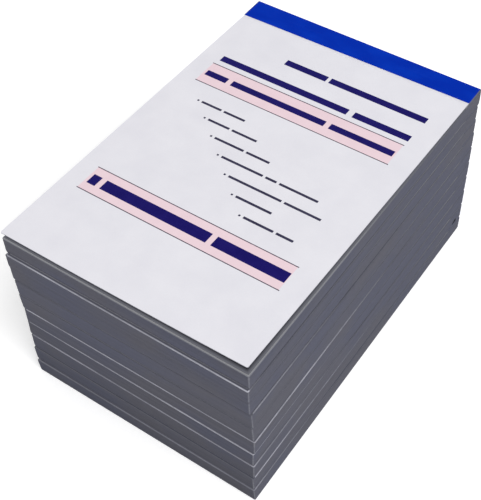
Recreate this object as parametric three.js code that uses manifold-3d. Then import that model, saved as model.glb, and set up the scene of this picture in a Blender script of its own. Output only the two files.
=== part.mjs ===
// A pile of ten order books, each a top-bound pad of triplicate forms. The top book opens.
// Millimetres, +Z up. The pile stands on Z = 0 with its box centred on X and Y.
// The taped spines lie along +Y, and the free ends of the leaves face -Y.
import * as THREE from 'three';
import { mergeVertices } from 'three/addons/utils/BufferGeometryUtils.js';
import Module from 'manifold-3d';

// Leaves: 3 1/2 by 5 3/8 inches, in sets of three that are bound together
const leafWidth = 89;
const leafLength = 136.5;
const leafThickness = 0.057;
const setsPerBook = 33;
const pliesPerSet = 3;

// Card, board, carbon and tape stock
const coverThickness = 0.3;
const coverTrim = 0.3;
const boardThickness = 0.6;
const boardInset = 0.15;
const carbonThickness = 0.04;
const carbonsPerBook = 3;
const carbonInset = 0.35;
const carbonFromTape = 1.8;
const tapeThickness = 0.13;

// Binding: how far the tape reaches over the book, how far its ends stop short of the sides,
// how much its edge is out of square, the radius of its folds, the gap at the crease, and
// how far a bound strip runs on under the panel that it carries
const tapeDepth = 9.1;
const tapeInset = 0.12;
const tapeSkew = 1.1;
const tapeWrapRadius = 0.45;
const creaseGap = 0.3;
const stubLap = 0.6;

// Staples
const wireDiameter = 0.45;
const stapleCrown = 12;
const stapleSpacing = 44;
const stapleFromSpine = 4.8;
const clinchLength = 3.4;
const wireBendRadius = 0.55;
const wireClearance = 0.05;

// Perforation of the leaves, in front of the tape
const perforationFromTape = 3.2;
const perforationPitch = 1.5;
const perforationSlot = 0.95;
const perforationWidth = 0.14;
const perforationMargin = 1.2;

// Air between loose sheets, and between one book and the next
const air = 0.03;

// How each book lies, from the top of the pile down. x, y and turn (degrees) are its place;
// bulk is the extra air among its leaves; leanX and leanY say how far the free end of its
// top leaf has slipped over the bottom one; coverShift and coverShort say how far the
// cover's free edge lies to the right of, and short of, the leaf under it.
const LAY = [
  { x: -0.6, y: 0.3, turn: 0, bulk: -0.16, leanX: 0, leanY: 0, coverShift: -1.7, coverShort: 1.8 },
  { x: -0.43, y: -0.45, turn: 0.06, bulk: -0.75, leanX: 0.05, leanY: 0.1, coverShift: 0.2, coverShort: -0.05 },
  { x: -0.41, y: -0.15, turn: -0.01, bulk: -0.4, leanX: -0.2, leanY: -0.1, coverShift: 0, coverShort: 0.12 },
  { x: -0.01, y: 0, turn: 0.24, bulk: 0.3, leanX: -0.3, leanY: 0, coverShift: 0.3, coverShort: 0.5 },
  { x: 0.05, y: 0.1, turn: 0.21, bulk: 0.4, leanX: -0.25, leanY: 0.1, coverShift: 0.25, coverShort: 0.5 },
  { x: 0.16, y: 0.15, turn: 0.22, bulk: 0.3, leanX: 0.1, leanY: 0, coverShift: 0.5, coverShort: -0.05 },
  { x: -0.05, y: 0.15, turn: -0.04, bulk: 0.4, leanX: 0.2, leanY: 0, coverShift: 0.45, coverShort: -0.08 },
  { x: 0.1, y: 0.1, turn: 0, bulk: 0.3, leanX: 0.05, leanY: 0, coverShift: 0.4, coverShort: -0.05 },
  { x: 0.13, y: -0.1, turn: -0.06, bulk: 0, leanX: -0.1, leanY: 0.15, coverShift: 0.5, coverShort: 0.4 },
  { x: 0.45, y: -0.35, turn: 0.1, bulk: -0.55, leanX: -0.25, leanY: 0.2, coverShift: 0.35, coverShort: 0.1 },
];

// Small turns and slips of the loose carbons of the top book: x, y and degrees
const CARBON_LAY = [
  { x: 0, y: 0, turn: 0 },
  { x: 0.1, y: 0.25, turn: -0.08 },
  { x: -0.1, y: 0.12, turn: 0.06 },
];

const wasm = await Module();
wasm.setup();

// Stock colours as photographed
const FINISH = {
  cover: { color: 0xe1e0e6, roughness: 0.55 },
  tape: { color: 0x0a36a6, roughness: 0.5 },
  edges: { color: 0x585a64, roughness: 0.85 },
  board: { color: 0x6f6c69, roughness: 0.9 },
  carbon: { color: 0x2b2d38, roughness: 0.35 },
  original: { color: 0xf2f1ec, roughness: 0.8 },
  duplicate: { color: 0xf4e7a1, roughness: 0.8 },
  triplicate: { color: 0xf1c3cf, roughness: 0.8 },
  wire: { color: 0xb9bcc0, roughness: 0.35, metalness: 0.9 },
};

// Values that follow from the sizes above
const spineY = leafLength / 2;
const freeY = -leafLength / 2;
const boundY = spineY - tapeThickness - air;
const hingeY = spineY - tapeDepth;
const skewAngle = Math.atan2(tapeSkew, leafWidth);
const tapeStep = tapeThickness + air;
const cutterMargin = 1;
const coverWidth = leafWidth - 2 * coverTrim;
const carbonWidth = leafWidth - 2 * carbonInset;
const leavesPerBook = setsPerBook * pliesPerSet;
const looseSet = ['original', 'duplicate', 'triplicate'].slice(0, pliesPerSet);
const carbonPack = carbonsPerBook * carbonThickness;
const looseCarbons = carbonsPerBook * (carbonThickness + air);
const looseLeaves = looseSet.length * (leafThickness + air);

// Name of a piece of the book at a place counted from the top of the pile
function pieceName(index, piece) {
  return `book_${String(index + 1).padStart(2, '0')}_${piece}`;
}

function piece(name, geometry, finish) {
  const mesh = new THREE.Mesh(geometry, new THREE.MeshStandardMaterial(FINISH[finish]));
  mesh.name = name;
  return mesh;
}

// Booleans
function toSolid(geometry) {
  const bare = geometry.index ? geometry.toNonIndexed() : geometry.clone();
  bare.deleteAttribute('normal');
  bare.deleteAttribute('uv');
  const merged = mergeVertices(bare, 1e-5);
  return new wasm.Manifold(new wasm.Mesh({
    numProp: 3,
    vertProperties: new Float32Array(merged.attributes.position.array),
    triVerts: new Uint32Array(merged.index.array),
  }));
}

function toGeometry(solid) {
  const mesh = solid.getMesh();
  const geometry = new THREE.BufferGeometry();
  geometry.setAttribute('position', new THREE.BufferAttribute(mesh.vertProperties, 3));
  geometry.setIndex(new THREE.BufferAttribute(mesh.triVerts, 1));
  geometry.computeVertexNormals();
  return geometry;
}

function join(...geometries) {
  return toGeometry(geometries.map(toSolid).reduce((sum, next) => sum.add(next)));
}

function cut(geometry, ...tools) {
  return toGeometry(tools.map(toSolid).reduce((rest, tool) => rest.subtract(tool), toSolid(geometry)));
}

// Y of the tape's front edge at a place across the book
function tapeEdgeY(x) {
  return hingeY + x * Math.tan(skewAngle);
}

// Four corners in plan, anticlockwise from the rear left. The rear edge runs along the tape's
// edge, set back from it, or square across at rearY.
function sheetCorners({ width, frontY, rearY = null, behindTapeEdge = 0, frontShift = 0 }) {
  const half = width / 2;
  const rear = (x) => (rearY === null ? tapeEdgeY(x) + behindTapeEdge : rearY);
  return [
    new THREE.Vector2(-half, rear(-half)),
    new THREE.Vector2(-half + frontShift, frontY),
    new THREE.Vector2(half + frontShift, frontY),
    new THREE.Vector2(half, rear(half)),
  ];
}

function flatSheet(corners, bottom, thickness) {
  const shape = new THREE.Shape(corners);
  const geometry = new THREE.ExtrudeGeometry(shape, { depth: thickness, bevelEnabled: false });
  return geometry.translate(0, 0, bottom);
}

// A closed solid between two outlines with the same number of corners
function loft(bottomCorners, topCorners, bottom, top) {
  const count = bottomCorners.length;
  const points = [
    ...bottomCorners.flatMap((p) => [p.x, p.y, bottom]),
    ...topCorners.flatMap((p) => [p.x, p.y, top]),
  ];
  const faces = [];
  for (let i = 1; i < count - 1; i += 1) {
    faces.push(0, i + 1, i, count, count + i, count + i + 1);
  }
  for (let i = 0; i < count; i += 1) {
    const next = (i + 1) % count;
    faces.push(i, next, count + next, i, count + next, count + i);
  }
  const geometry = new THREE.BufferGeometry();
  geometry.setAttribute('position', new THREE.Float32BufferAttribute(points, 3));
  geometry.setIndex(faces);
  return geometry;
}

// Points of a path in the XZ plane with its corners rounded by short arcs
function roundedPath(corners, radius, steps) {
  const path = [corners[0].clone()];
  for (let i = 1; i < corners.length - 1; i += 1) {
    const back = corners[i - 1].clone().sub(corners[i]).normalize();
    const ahead = corners[i + 1].clone().sub(corners[i]).normalize();
    const halfAngle = Math.acos(THREE.MathUtils.clamp(back.dot(ahead), -1, 1)) / 2;
    const reach = radius / Math.tan(halfAngle);
    const centre = back.clone().add(ahead).normalize().multiplyScalar(radius / Math.sin(halfAngle));
    centre.add(corners[i]);
    const from = corners[i].clone().addScaledVector(back, reach).sub(centre);
    const to = corners[i].clone().addScaledVector(ahead, reach).sub(centre);
    const turn = Math.atan2(from.cross(to), from.dot(to));
    for (let k = 0; k <= steps; k += 1) {
      path.push(from.clone().rotateAround(new THREE.Vector2(), (turn * k) / steps).add(centre));
    }
  }
  path.push(corners.at(-1).clone());
  return path;
}

// Round wire along a path in the XZ plane, with mitred rings and closed ends
function wireAlong(path, radius, sides) {
  const points = [];
  const faces = [];
  path.forEach((point, i) => {
    const before = point.clone().sub(path[Math.max(i - 1, 0)]).normalize();
    const after = path[Math.min(i + 1, path.length - 1)].clone().sub(point).normalize();
    const along = before.clone().add(after).normalize();
    const mitre = 1 / Math.max(along.dot(i === 0 ? after : before), 0.5);
    for (let k = 0; k < sides; k += 1) {
      const angle = ((k + 0.5) / sides) * 2 * Math.PI;
      const across = Math.cos(angle) * radius * mitre;
      points.push(point.x + along.y * across, Math.sin(angle) * radius, point.y - along.x * across);
    }
  });
  const ring = (i, k) => i * sides + (k % sides);
  for (let i = 0; i < path.length - 1; i += 1) {
    for (let k = 0; k < sides; k += 1) {
      faces.push(ring(i, k), ring(i, k + 1), ring(i + 1, k + 1));
      faces.push(ring(i, k), ring(i + 1, k + 1), ring(i + 1, k));
    }
  }
  for (let k = 1; k < sides - 1; k += 1) {
    faces.push(ring(0, 0), ring(0, k + 1), ring(0, k));
    faces.push(ring(path.length - 1, 0), ring(path.length - 1, k), ring(path.length - 1, k + 1));
  }
  const geometry = new THREE.BufferGeometry();
  geometry.setAttribute('position', new THREE.Float32BufferAttribute(points, 3));
  geometry.setIndex(faces);
  return geometry;
}

// One clinched staple: crown under the top flange of the tape, points bent in under the board
function stapleWire(side, thickness, radius, sides, bendSteps) {
  const crownZ = thickness - tapeStep - wireDiameter / 2;
  const clinchZ = tapeStep + wireDiameter / 2;
  const half = stapleCrown / 2;
  const corners = [
    new THREE.Vector2(-half + clinchLength, clinchZ),
    new THREE.Vector2(-half, clinchZ),
    new THREE.Vector2(-half, crownZ),
    new THREE.Vector2(half, crownZ),
    new THREE.Vector2(half, clinchZ),
    new THREE.Vector2(half - clinchLength, clinchZ),
  ];
  const wire = wireAlong(roundedPath(corners, wireBendRadius, bendSteps), radius, sides);
  return wire.translate((side * stapleSpacing) / 2, spineY - stapleFromSpine, 0);
}

function staplePair(thickness, clearance, sides, bendSteps) {
  const radius = wireDiameter / 2 + clearance;
  return [-1, 1].map((side) => stapleWire(side, thickness, radius, sides, bendSteps));
}

// The tape: a channel round the spine with rounded folds, its front edges cut out of square
function spineTape(thickness) {
  const outer = tapeWrapRadius;
  const inner = tapeWrapRadius - tapeThickness;
  const reach = spineY - tapeDepth - tapeSkew;
  const profile = new THREE.Shape();
  profile.moveTo(reach, 0);
  profile.lineTo(spineY - outer, 0);
  profile.absarc(spineY - outer, outer, outer, -Math.PI / 2, 0, false);
  profile.lineTo(spineY, thickness - outer);
  profile.absarc(spineY - outer, thickness - outer, outer, 0, Math.PI / 2, false);
  profile.lineTo(reach, thickness);
  profile.lineTo(reach, thickness - tapeThickness);
  profile.lineTo(spineY - outer, thickness - tapeThickness);
  profile.absarc(spineY - outer, thickness - outer, inner, Math.PI / 2, 0, true);
  profile.lineTo(spineY - tapeThickness, outer);
  profile.absarc(spineY - outer, outer, inner, 0, -Math.PI / 2, true);
  profile.lineTo(reach, tapeThickness);
  const channel = new THREE.ExtrudeGeometry(profile, {
    depth: leafWidth - 2 * tapeInset,
    bevelEnabled: false,
    curveSegments: 5,
  });
  // The profile is drawn in Y and Z, so the extrusion is turned to run along X.
  channel.applyMatrix4(new THREE.Matrix4().makeBasis(
    new THREE.Vector3(0, 1, 0),
    new THREE.Vector3(0, 0, 1),
    new THREE.Vector3(1, 0, 0),
  ));
  channel.translate(tapeInset - leafWidth / 2, 0, 0);
  const trim = sheetCorners({ width: leafWidth + 2 * cutterMargin, frontY: reach - cutterMargin });
  return cut(channel, flatSheet(trim, -cutterMargin, thickness + 2 * cutterMargin));
}

// Plan of all that lies in front of the tape's edge, and of all behind it
function openZone() {
  return sheetCorners({ width: leafWidth + 4 * cutterMargin, frontY: freeY - 2 * cutterMargin });
}

function stubZone(before) {
  return sheetCorners({
    width: leafWidth + 4 * cutterMargin,
    frontY: spineY + cutterMargin,
    behindTapeEdge: -before,
  });
}

// Grey board, pressed thinner under the tape and slotted by the clinched points
function backBoard(thickness) {
  const rearY = boundY - tapeWrapRadius;
  const width = leafWidth - 2 * boardInset;
  const whole = sheetCorners({ width, frontY: freeY + boardInset, rearY });
  const pressed = flatSheet(stubZone(air), -cutterMargin, cutterMargin + tapeStep);
  return cut(flatSheet(whole, 0, boardThickness), pressed, ...staplePair(thickness, wireClearance, 6, 2));
}

// Corners of a full leaf, with its free end slipped by the book's lean
function leafCorners(lay, share) {
  return sheetCorners({
    width: leafWidth,
    frontY: freeY - lay.leanY * share,
    frontShift: lay.leanX * share,
    rearY: boundY,
  });
}

// The bound leaves: a leaning stack, stepped down in front of the tape where the top
// leaves are separate pieces
function leafStack(lay, bottom, stubTop, top) {
  const stack = loft(leafCorners(lay, 0), leafCorners(lay, 1), bottom, Math.max(stubTop, top));
  const low = Math.min(stubTop, top);
  const spare = stubTop > top ? openZone() : stubZone(stubLap + air);
  return cut(stack, flatSheet(spare, low, Math.abs(stubTop - top) + cutterMargin));
}

function coverPanelCorners(lay, behindTapeEdge) {
  return sheetCorners({
    width: coverWidth,
    frontY: freeY - lay.leanY + lay.coverShort,
    frontShift: lay.leanX + lay.coverShift,
    behindTapeEdge,
  });
}

// The cover's bound strip, under the tape
function coverStub(top, behindTapeEdge) {
  const rearY = boundY - tapeWrapRadius;
  const strip = sheetCorners({ width: coverWidth, frontY: rearY, behindTapeEdge });
  return flatSheet(strip, top - tapeStep - coverThickness, coverThickness);
}

function bookThickness(lay, isTop) {
  const leaves = leavesPerBook - (isTop ? looseSet.length : 0);
  const loose = isTop ? looseCarbons + looseLeaves : carbonPack + air;
  return boardThickness + air + leaves * leafThickness + lay.bulk + air + loose + coverThickness;
}

// Carbons are cut short of the tape, and a little smaller than the leaf all round
function carbonCorners(frontY, frontShift) {
  const rearY = tapeEdgeY(-leafWidth / 2) - carbonFromTape;
  return sheetCorners({ width: carbonWidth, frontY, frontShift, rearY });
}

// A closed book, lower in the pile: its two staples are part of its leaves
function closedBook(lay, index) {
  const book = new THREE.Group();
  const top = bookThickness(lay, false);
  const carbonBottom = top - coverThickness - air - carbonPack;
  const stubTop = top - tapeStep - coverThickness - air;
  const leavesTop = carbonBottom - air;
  const slots = staplePair(top, wireClearance, 6, 2);
  const carbons = carbonCorners(freeY + carbonInset - lay.leanY, lay.leanX);
  const leaves = leafStack(lay, boardThickness + air, stubTop, leavesTop);
  const panel = flatSheet(coverPanelCorners(lay, -air), top - coverThickness, coverThickness);
  const cover = cut(join(panel, coverStub(top, -stubLap)), ...slots);
  book.add(
    piece(pieceName(index, 'back_board'), backBoard(top), 'board'),
    piece(pieceName(index, 'leaves'), join(leaves, ...staplePair(top, 0, 6, 2)), 'edges'),
    piece(pieceName(index, 'carbon_sheets'), flatSheet(carbons, carbonBottom, carbonPack), 'carbon'),
    piece(pieceName(index, 'front_cover'), cover, 'cover'),
    piece(pieceName(index, 'spine_tape'), spineTape(top), 'tape'),
  );
  return book;
}

// Cutters for the tear-off perforation, square across the leaf
function perforation(bottom) {
  const y = tapeEdgeY(-leafWidth / 2) - perforationFromTape;
  const run = leafWidth - 2 * perforationMargin;
  const count = Math.floor((run - perforationSlot) / perforationPitch) + 1;
  const start = -((count - 1) * perforationPitch) / 2;
  return Array.from({ length: count }, (_, i) => {
    const slot = new THREE.BoxGeometry(perforationSlot, perforationWidth, 3 * leafThickness);
    return slot.translate(start + i * perforationPitch, y, bottom + leafThickness / 2);
  });
}

// A group whose X axis is the crease along the tape's front edge, at the top of the book
function creaseGroup(top, ...meshes) {
  const crease = new THREE.Group();
  crease.position.set(0, hingeY, top);
  crease.rotation.z = skewAngle;
  const toCrease = new THREE.Matrix4()
    .makeRotationZ(-skewAngle)
    .multiply(new THREE.Matrix4().makeTranslation(0, -hingeY, -top));
  meshes.forEach((mesh) => mesh.geometry.applyMatrix4(toCrease));
  crease.add(...meshes);
  return crease;
}

// Three loose carbons between the cover and the first form
function looseCarbonSheets(index, top) {
  return Array.from({ length: carbonsPerBook }, (_, i) => {
    const slip = CARBON_LAY[i % CARBON_LAY.length];
    const bottom = top - coverThickness - (i + 1) * (carbonThickness + air);
    const sheet = flatSheet(carbonCorners(freeY + carbonInset, 0), bottom, carbonThickness);
    sheet.rotateZ(THREE.MathUtils.degToRad(slip.turn));
    sheet.translate(slip.x, slip.y, 0);
    return piece(pieceName(index, `carbon_sheet_${i + 1}`), sheet, 'carbon');
  });
}

// The book on top: its cover and first form are separate sheets that turn on the crease
function openableBook(lay, index) {
  const book = new THREE.Group();
  const top = bookThickness(lay, true);
  const firstLeafTop = top - coverThickness - looseCarbons - air;
  const stubTop = top - tapeStep - coverThickness - air;
  const leavesTop = firstLeafTop - looseLeaves;
  const slots = staplePair(top, wireClearance, 8, 3);
  const [leftStaple, rightStaple] = staplePair(top, 0, 12, 4);
  const stack = leafStack(lay, boardThickness + air, stubTop, leavesTop);
  const panel = flatSheet(coverPanelCorners(lay, -creaseGap), top - coverThickness, coverThickness);
  book.add(
    piece(pieceName(index, 'back_board'), backBoard(top), 'board'),
    piece(pieceName(index, 'leaves'), cut(stack, ...slots), 'edges'),
    piece(pieceName(index, 'cover_stub'), cut(coverStub(top, 0), ...slots), 'cover'),
    piece(pieceName(index, 'spine_tape'), spineTape(top), 'tape'),
    piece(pieceName(index, 'staple_left'), leftStaple, 'wire'),
    piece(pieceName(index, 'staple_right'), rightStaple, 'wire'),
  );
  const cover = piece(pieceName(index, 'front_cover'), panel, 'cover');
  book.add(creaseGroup(top, cover, ...looseCarbonSheets(index, top)));
  looseSet.forEach((ply, i) => {
    const bottom = firstLeafTop - (i + 1) * (leafThickness + air) + air;
    const corners = sheetCorners({
      width: leafWidth,
      frontY: freeY - lay.leanY,
      frontShift: lay.leanX,
      behindTapeEdge: -creaseGap,
    });
    const sheet = cut(flatSheet(corners, bottom, leafThickness), ...perforation(bottom));
    book.add(creaseGroup(top, piece(pieceName(index, `${ply}_leaf`), sheet, ply)));
  });
  return book;
}

// The pile, built from the bottom book up
const pile = new THREE.Group();
let level = 0;
for (let index = LAY.length - 1; index >= 0; index -= 1) {
  const lay = LAY[index];
  const isTop = index === 0;
  const book = isTop ? openableBook(lay, index) : closedBook(lay, index);
  book.position.set(lay.x, lay.y, level);
  book.rotation.z = THREE.MathUtils.degToRad(lay.turn);
  level += bookThickness(lay, isTop) + air;
  pile.add(book);
}

// The pile's own box is centred on the origin.
const box = new THREE.Box3().setFromObject(pile, true);
pile.position.set(-(box.min.x + box.max.x) / 2, -(box.min.y + box.max.y) / 2, 0);

export default pile;
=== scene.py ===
"""Dresses a pile of ten top-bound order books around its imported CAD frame.

Sizes are in millimetres in each book's own frame: X across, Y towards the taped spine, Z up from
the book's foot, with the origin under the middle of its leaves. A book's matrix turns them into
the row frame's metres. Where each book lies is read from its CAD nodes.
"""

import logging
import math
from dataclasses import dataclass
from enum import Enum
from functools import cached_property
from itertools import pairwise
from typing import ClassVar

import bpy
from mathutils import Matrix, Vector

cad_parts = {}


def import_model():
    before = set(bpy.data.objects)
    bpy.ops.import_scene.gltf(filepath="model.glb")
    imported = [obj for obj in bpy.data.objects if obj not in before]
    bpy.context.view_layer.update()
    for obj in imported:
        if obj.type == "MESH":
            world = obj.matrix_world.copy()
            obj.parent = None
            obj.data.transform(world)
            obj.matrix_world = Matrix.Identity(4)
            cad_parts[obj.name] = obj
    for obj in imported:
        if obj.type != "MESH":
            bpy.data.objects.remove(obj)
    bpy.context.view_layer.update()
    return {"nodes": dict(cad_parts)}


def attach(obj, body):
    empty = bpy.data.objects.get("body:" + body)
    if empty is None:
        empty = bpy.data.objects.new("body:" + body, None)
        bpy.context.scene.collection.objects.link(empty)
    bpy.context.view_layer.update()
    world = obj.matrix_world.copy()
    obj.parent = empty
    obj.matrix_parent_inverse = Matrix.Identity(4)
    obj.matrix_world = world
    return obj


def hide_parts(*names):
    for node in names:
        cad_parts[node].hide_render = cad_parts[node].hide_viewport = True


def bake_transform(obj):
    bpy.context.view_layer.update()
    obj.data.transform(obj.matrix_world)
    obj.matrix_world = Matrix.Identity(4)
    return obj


LOG = logging.getLogger("order_books")
MM = 0.001
BOOKS = 10
TOP_BOOK = 1
CARBONS = 3
WELD = 0.001  # points closer than this are merged
LEAST_CELL = 0.03  # grid lines closer than this are one
FREE_ZONE = 2.0  # how far the leaves' free end reaches
SAME_LEVEL = 0.01  # heights closer than this are one level
MIDDLE = (0.5, 0.5, 0.5)  # the mean of a noise's colour
CORE = (0.3, 0.7)  # the range that holds most of a noise

Material = bpy.types.Material
Mesh = bpy.types.Mesh
Piece = bpy.types.Object
Socket = bpy.types.NodeSocket
Colour = tuple[int, int, int]
Pair = tuple[float, float]
Triple = tuple[float, float, float]


def linear(colour: Colour) -> tuple[float, float, float, float]:
    """Turns a colour as it is seen into the values that a shader socket holds.

    Args:
        colour: red, green and blue from 0 to 255.

    Returns:
        Linear red, green and blue, and full opacity.
    """
    shares = [value / 255 for value in colour]
    return (*(s / 12.92 if s <= 0.04045 else ((s + 0.055) / 1.055) ** 2.4 for s in shares), 1.0)


def clamp(share: float) -> float:
    """Holds a share between 0 and 1."""
    return min(max(share, 0.0), 1.0)


def smooth(share: float) -> float:
    """Eases a share from 0 to 1, clamped at both ends."""
    held = clamp(share)
    return held * held * (3 - 2 * held)


def arc_point(x: float, y: float, radius: float, degrees: float) -> Pair:
    """Gives the point of a circle round (x, y) at an angle."""
    return x + radius * math.cos(math.radians(degrees)), y + radius * math.sin(math.radians(degrees))


def corner_of(points: list[Vector], across: float, along: float) -> Vector:
    """Finds the point that lies furthest in a diagonal direction in plan."""
    return max(points, key=lambda p: across * p.x + along * p.y)


@dataclass(frozen=True)
class BookSizes:
    """The sizes that all ten books share, as in the part's source."""

    leaf_width: float = 89.0
    leaf_length: float = 136.5
    leaf_thickness: float = 0.055
    leaf_count: int = 99
    board_thickness: float = 0.6
    board_inset: float = 0.15
    cover_thickness: float = 0.3
    cover_trim: float = 0.3
    tape_thickness: float = 0.13
    tape_depth: float = 9.1
    tape_inset: float = 0.12
    tape_skew: float = 1.1
    wrap_radius: float = 0.45
    staple_crown: float = 12.0
    staple_spacing: float = 44.0
    staple_from_spine: float = 4.8
    air: float = 0.03

    @property
    def spine_y(self) -> float:
        """Y of the spine's outer face."""
        return self.leaf_length / 2

    @property
    def free_y(self) -> float:
        """Y of the leaves' free end."""
        return -self.leaf_length / 2

    @property
    def bound_y(self) -> float:
        """Y of the leaves' bound end, inside the tape."""
        return self.spine_y - self.tape_thickness - self.air

    @property
    def crease_y(self) -> float:
        """Y of the tape's front edge at the middle of the book."""
        return self.spine_y - self.tape_depth

    @property
    def skew(self) -> float:
        """Rise of the tape's front edge for each millimetre across."""
        return self.tape_skew / self.leaf_width


SIZES = BookSizes()


class Value:
    """An output in a node tree. Arithmetic on it adds nodes and gives another output."""

    def __init__(self, graph: "Graph", socket: Socket) -> None:
        """Keeps an output with its tree.

        Args:
            graph: the tree that is being written.
            socket: the node's output.
        """
        self.graph = graph
        self.socket = socket
        self.is_vector = socket.type in ("VECTOR", "RGBA")

    def math(self, operation: str, *others: object) -> "Value":
        """Adds a Math node, or a Vector Math node to a vector or colour, and returns its result."""
        kind = "ShaderNodeVectorMath" if self.is_vector else "ShaderNodeMath"
        return self.graph.add(kind, dict(enumerate((self, *others))), operation=operation)

    def __add__(self, other: object) -> "Value":
        """Adds another value or a constant."""
        return self.math("ADD", other)

    def __sub__(self, other: object) -> "Value":
        """Takes another value or a constant away."""
        return self.math("SUBTRACT", other)

    def __rsub__(self, other: float) -> "Value":
        """Takes this number away from a constant."""
        return self.graph.add("ShaderNodeMath", {0: other, 1: self}, operation="SUBTRACT")

    def __mul__(self, other: object) -> "Value":
        """Multiplies by another value or a constant, and scales a vector by a number.

        Args:
            other: a value, a number or three numbers.

        Returns:
            The product.
        """
        by_number = not isinstance(other, tuple) and not getattr(other, "is_vector", False)
        if self.is_vector and by_number:
            return self.graph.add("ShaderNodeVectorMath", {0: self, "Scale": other}, operation="SCALE")
        return self.math("MULTIPLY", other)

    def __truediv__(self, other: object) -> "Value":
        """Divides by another value or a constant."""
        return self.math("DIVIDE", other)

    def __lt__(self, other: object) -> "Value":
        """Gives 1 where this is less than the other, and 0 elsewhere."""
        return self.math("LESS_THAN", other)

    def __abs__(self) -> "Value":
        """Drops the sign."""
        return self.math("ABSOLUTE")

    def remap(self, low: float, high: float, to_low: object = 0.0, to_high: object = 1.0) -> "Value":
        """Maps a range to another one, clamped at both ends."""
        limits = {"Value": self, "From Min": low, "From Max": high, "To Min": to_low, "To Max": to_high}
        return self.graph.add("ShaderNodeMapRange", limits)

    def mix(self, first: object, second: object) -> "Value":
        """Mixes two colours, with this as the second one's share."""
        return self.graph.add("ShaderNodeMix", {0: self, 6: first, 7: second}, 2, data_type="RGBA")

    def noise(self, scale: float = 1.0, detail: float = 2.0, output: int = 0) -> "Value":
        """Adds noise at this place and returns its value, around one half, or output 1, its colour."""
        given = {"Vector": self, "Scale": scale, "Detail": detail}
        return self.graph.add("ShaderNodeTexNoise", given, output)

    def parts(self) -> list["Value"]:
        """Splits a vector into its three numbers."""
        node = self.graph.add("ShaderNodeSeparateXYZ", {0: self}).socket.node
        return [Value(self.graph, socket) for socket in node.outputs]

    def other(self, name: str) -> "Value":
        """Returns another output of the same node."""
        return Value(self.graph, self.socket.node.outputs[name])


class Graph:
    """A node tree that is being written."""

    def __init__(self, tree: bpy.types.NodeTree) -> None:
        """Takes the tree to write in."""
        self.tree = tree

    def add(self, kind: str, inputs: dict | None = None, output: int | str = 0, **settings: object) -> Value:
        """Adds a node.

        Args:
            kind: the node's type name.
            inputs: values or constants for its inputs, by name or number.
            output: the name or number of the wanted output.
            settings: the node's own properties.

        Returns:
            The wanted output.
        """
        node = self.tree.nodes.new(kind)
        for name, value in settings.items():
            setattr(node, name, value)
        for key, value in (inputs or {}).items():
            self.give(node.inputs[key], value)
        return Value(self, node.outputs[output])

    def give(self, socket: Socket, value: object) -> None:
        """Links a value to an input, or sets it to a constant.

        Args:
            socket: the input.
            value: a value of this tree, a constant, or a colour as it is seen.
        """
        if isinstance(value, Value):
            self.tree.links.new(value.socket, socket)
        elif socket.type == "RGBA" and len(value) == 3:
            socket.default_value = linear(value)
        else:
            socket.default_value = value


class Surface(Graph):
    """The shader tree of one material."""

    def __init__(self, name: str) -> None:
        """Starts a material by its name.

        Args:
            name: the material's name.
        """
        self.material = bpy.data.materials.new(name)
        self.material.use_nodes = True
        super().__init__(self.material.node_tree)

    @cached_property
    def place(self) -> Value:
        """Object coordinates, in metres."""
        return self.add("ShaderNodeTexCoord", output="Object")

    def set(self, **inputs: object) -> None:
        """Gives the shader some of its inputs, by name with underscores."""
        for key, value in inputs.items():
            self.give(self.tree.nodes["Principled BSDF"].inputs[key.replace("_", " ")], value)

    def noise(self, scale: float, detail: float = 2.0, stretch: Triple | None = None) -> Value:
        """Adds noise of a scale in cells per metre, which a stretch makes finer along each axis."""
        return (self.place * stretch if stretch else self.place).noise(scale, detail)

    def attribute(self, name: str, output: str) -> Value:
        """Reads one of the mesh's own attributes."""
        return self.add("ShaderNodeAttribute", output=output, attribute_name=name)

    def relief(self, height: Value, depth_mm: float) -> None:
        """Adds relief of a depth in millimetres."""
        given = {"Height": height, "Distance": depth_mm * MM, "Strength": 1.0}
        self.set(Normal=self.add("ShaderNodeBump", given))

    def from_edges(self, inset: Pair = (0.0, 0.0)) -> tuple[Value, Value]:
        """Measures how far a point of the flat sheet lies from a long side, and from the free end.

        Args:
            inset: how far the sheet's own side and end stop short of the leaves'.

        Returns:
            Both distances in millimetres.
        """
        across, along, _ = self.attribute("flat_place", "Vector").parts()
        return (SIZES.leaf_width / 2 - inset[0]) - abs(across), along - (SIZES.free_y + inset[1])


@dataclass(frozen=True)
class Finish:
    """One finish: its name and how much it reflects. Each kind adds its roughness.

    A noise's scale is in cells per metre; a run stretches it along each axis, a range is the part
    of it that is mapped, and a gloss gives limits of roughness.
    """

    name: str
    specular: ClassVar[float] = 0.15
    metallic: ClassVar[float] = 0.0

    def material(self) -> Material:
        """Builds the finish's material on its first use.

        Returns:
            The material.
        """
        if self.name in bpy.data.materials:
            return bpy.data.materials[self.name]
        surface = Surface(self.name)
        surface.set(Roughness=self.roughness, Specular_IOR_Level=self.specular, Metallic=self.metallic)
        self.paint(surface)
        return surface.material

    def paint(self, surface: Surface) -> None:
        """Adds the finish's own nodes."""
        raise NotImplementedError


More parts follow.
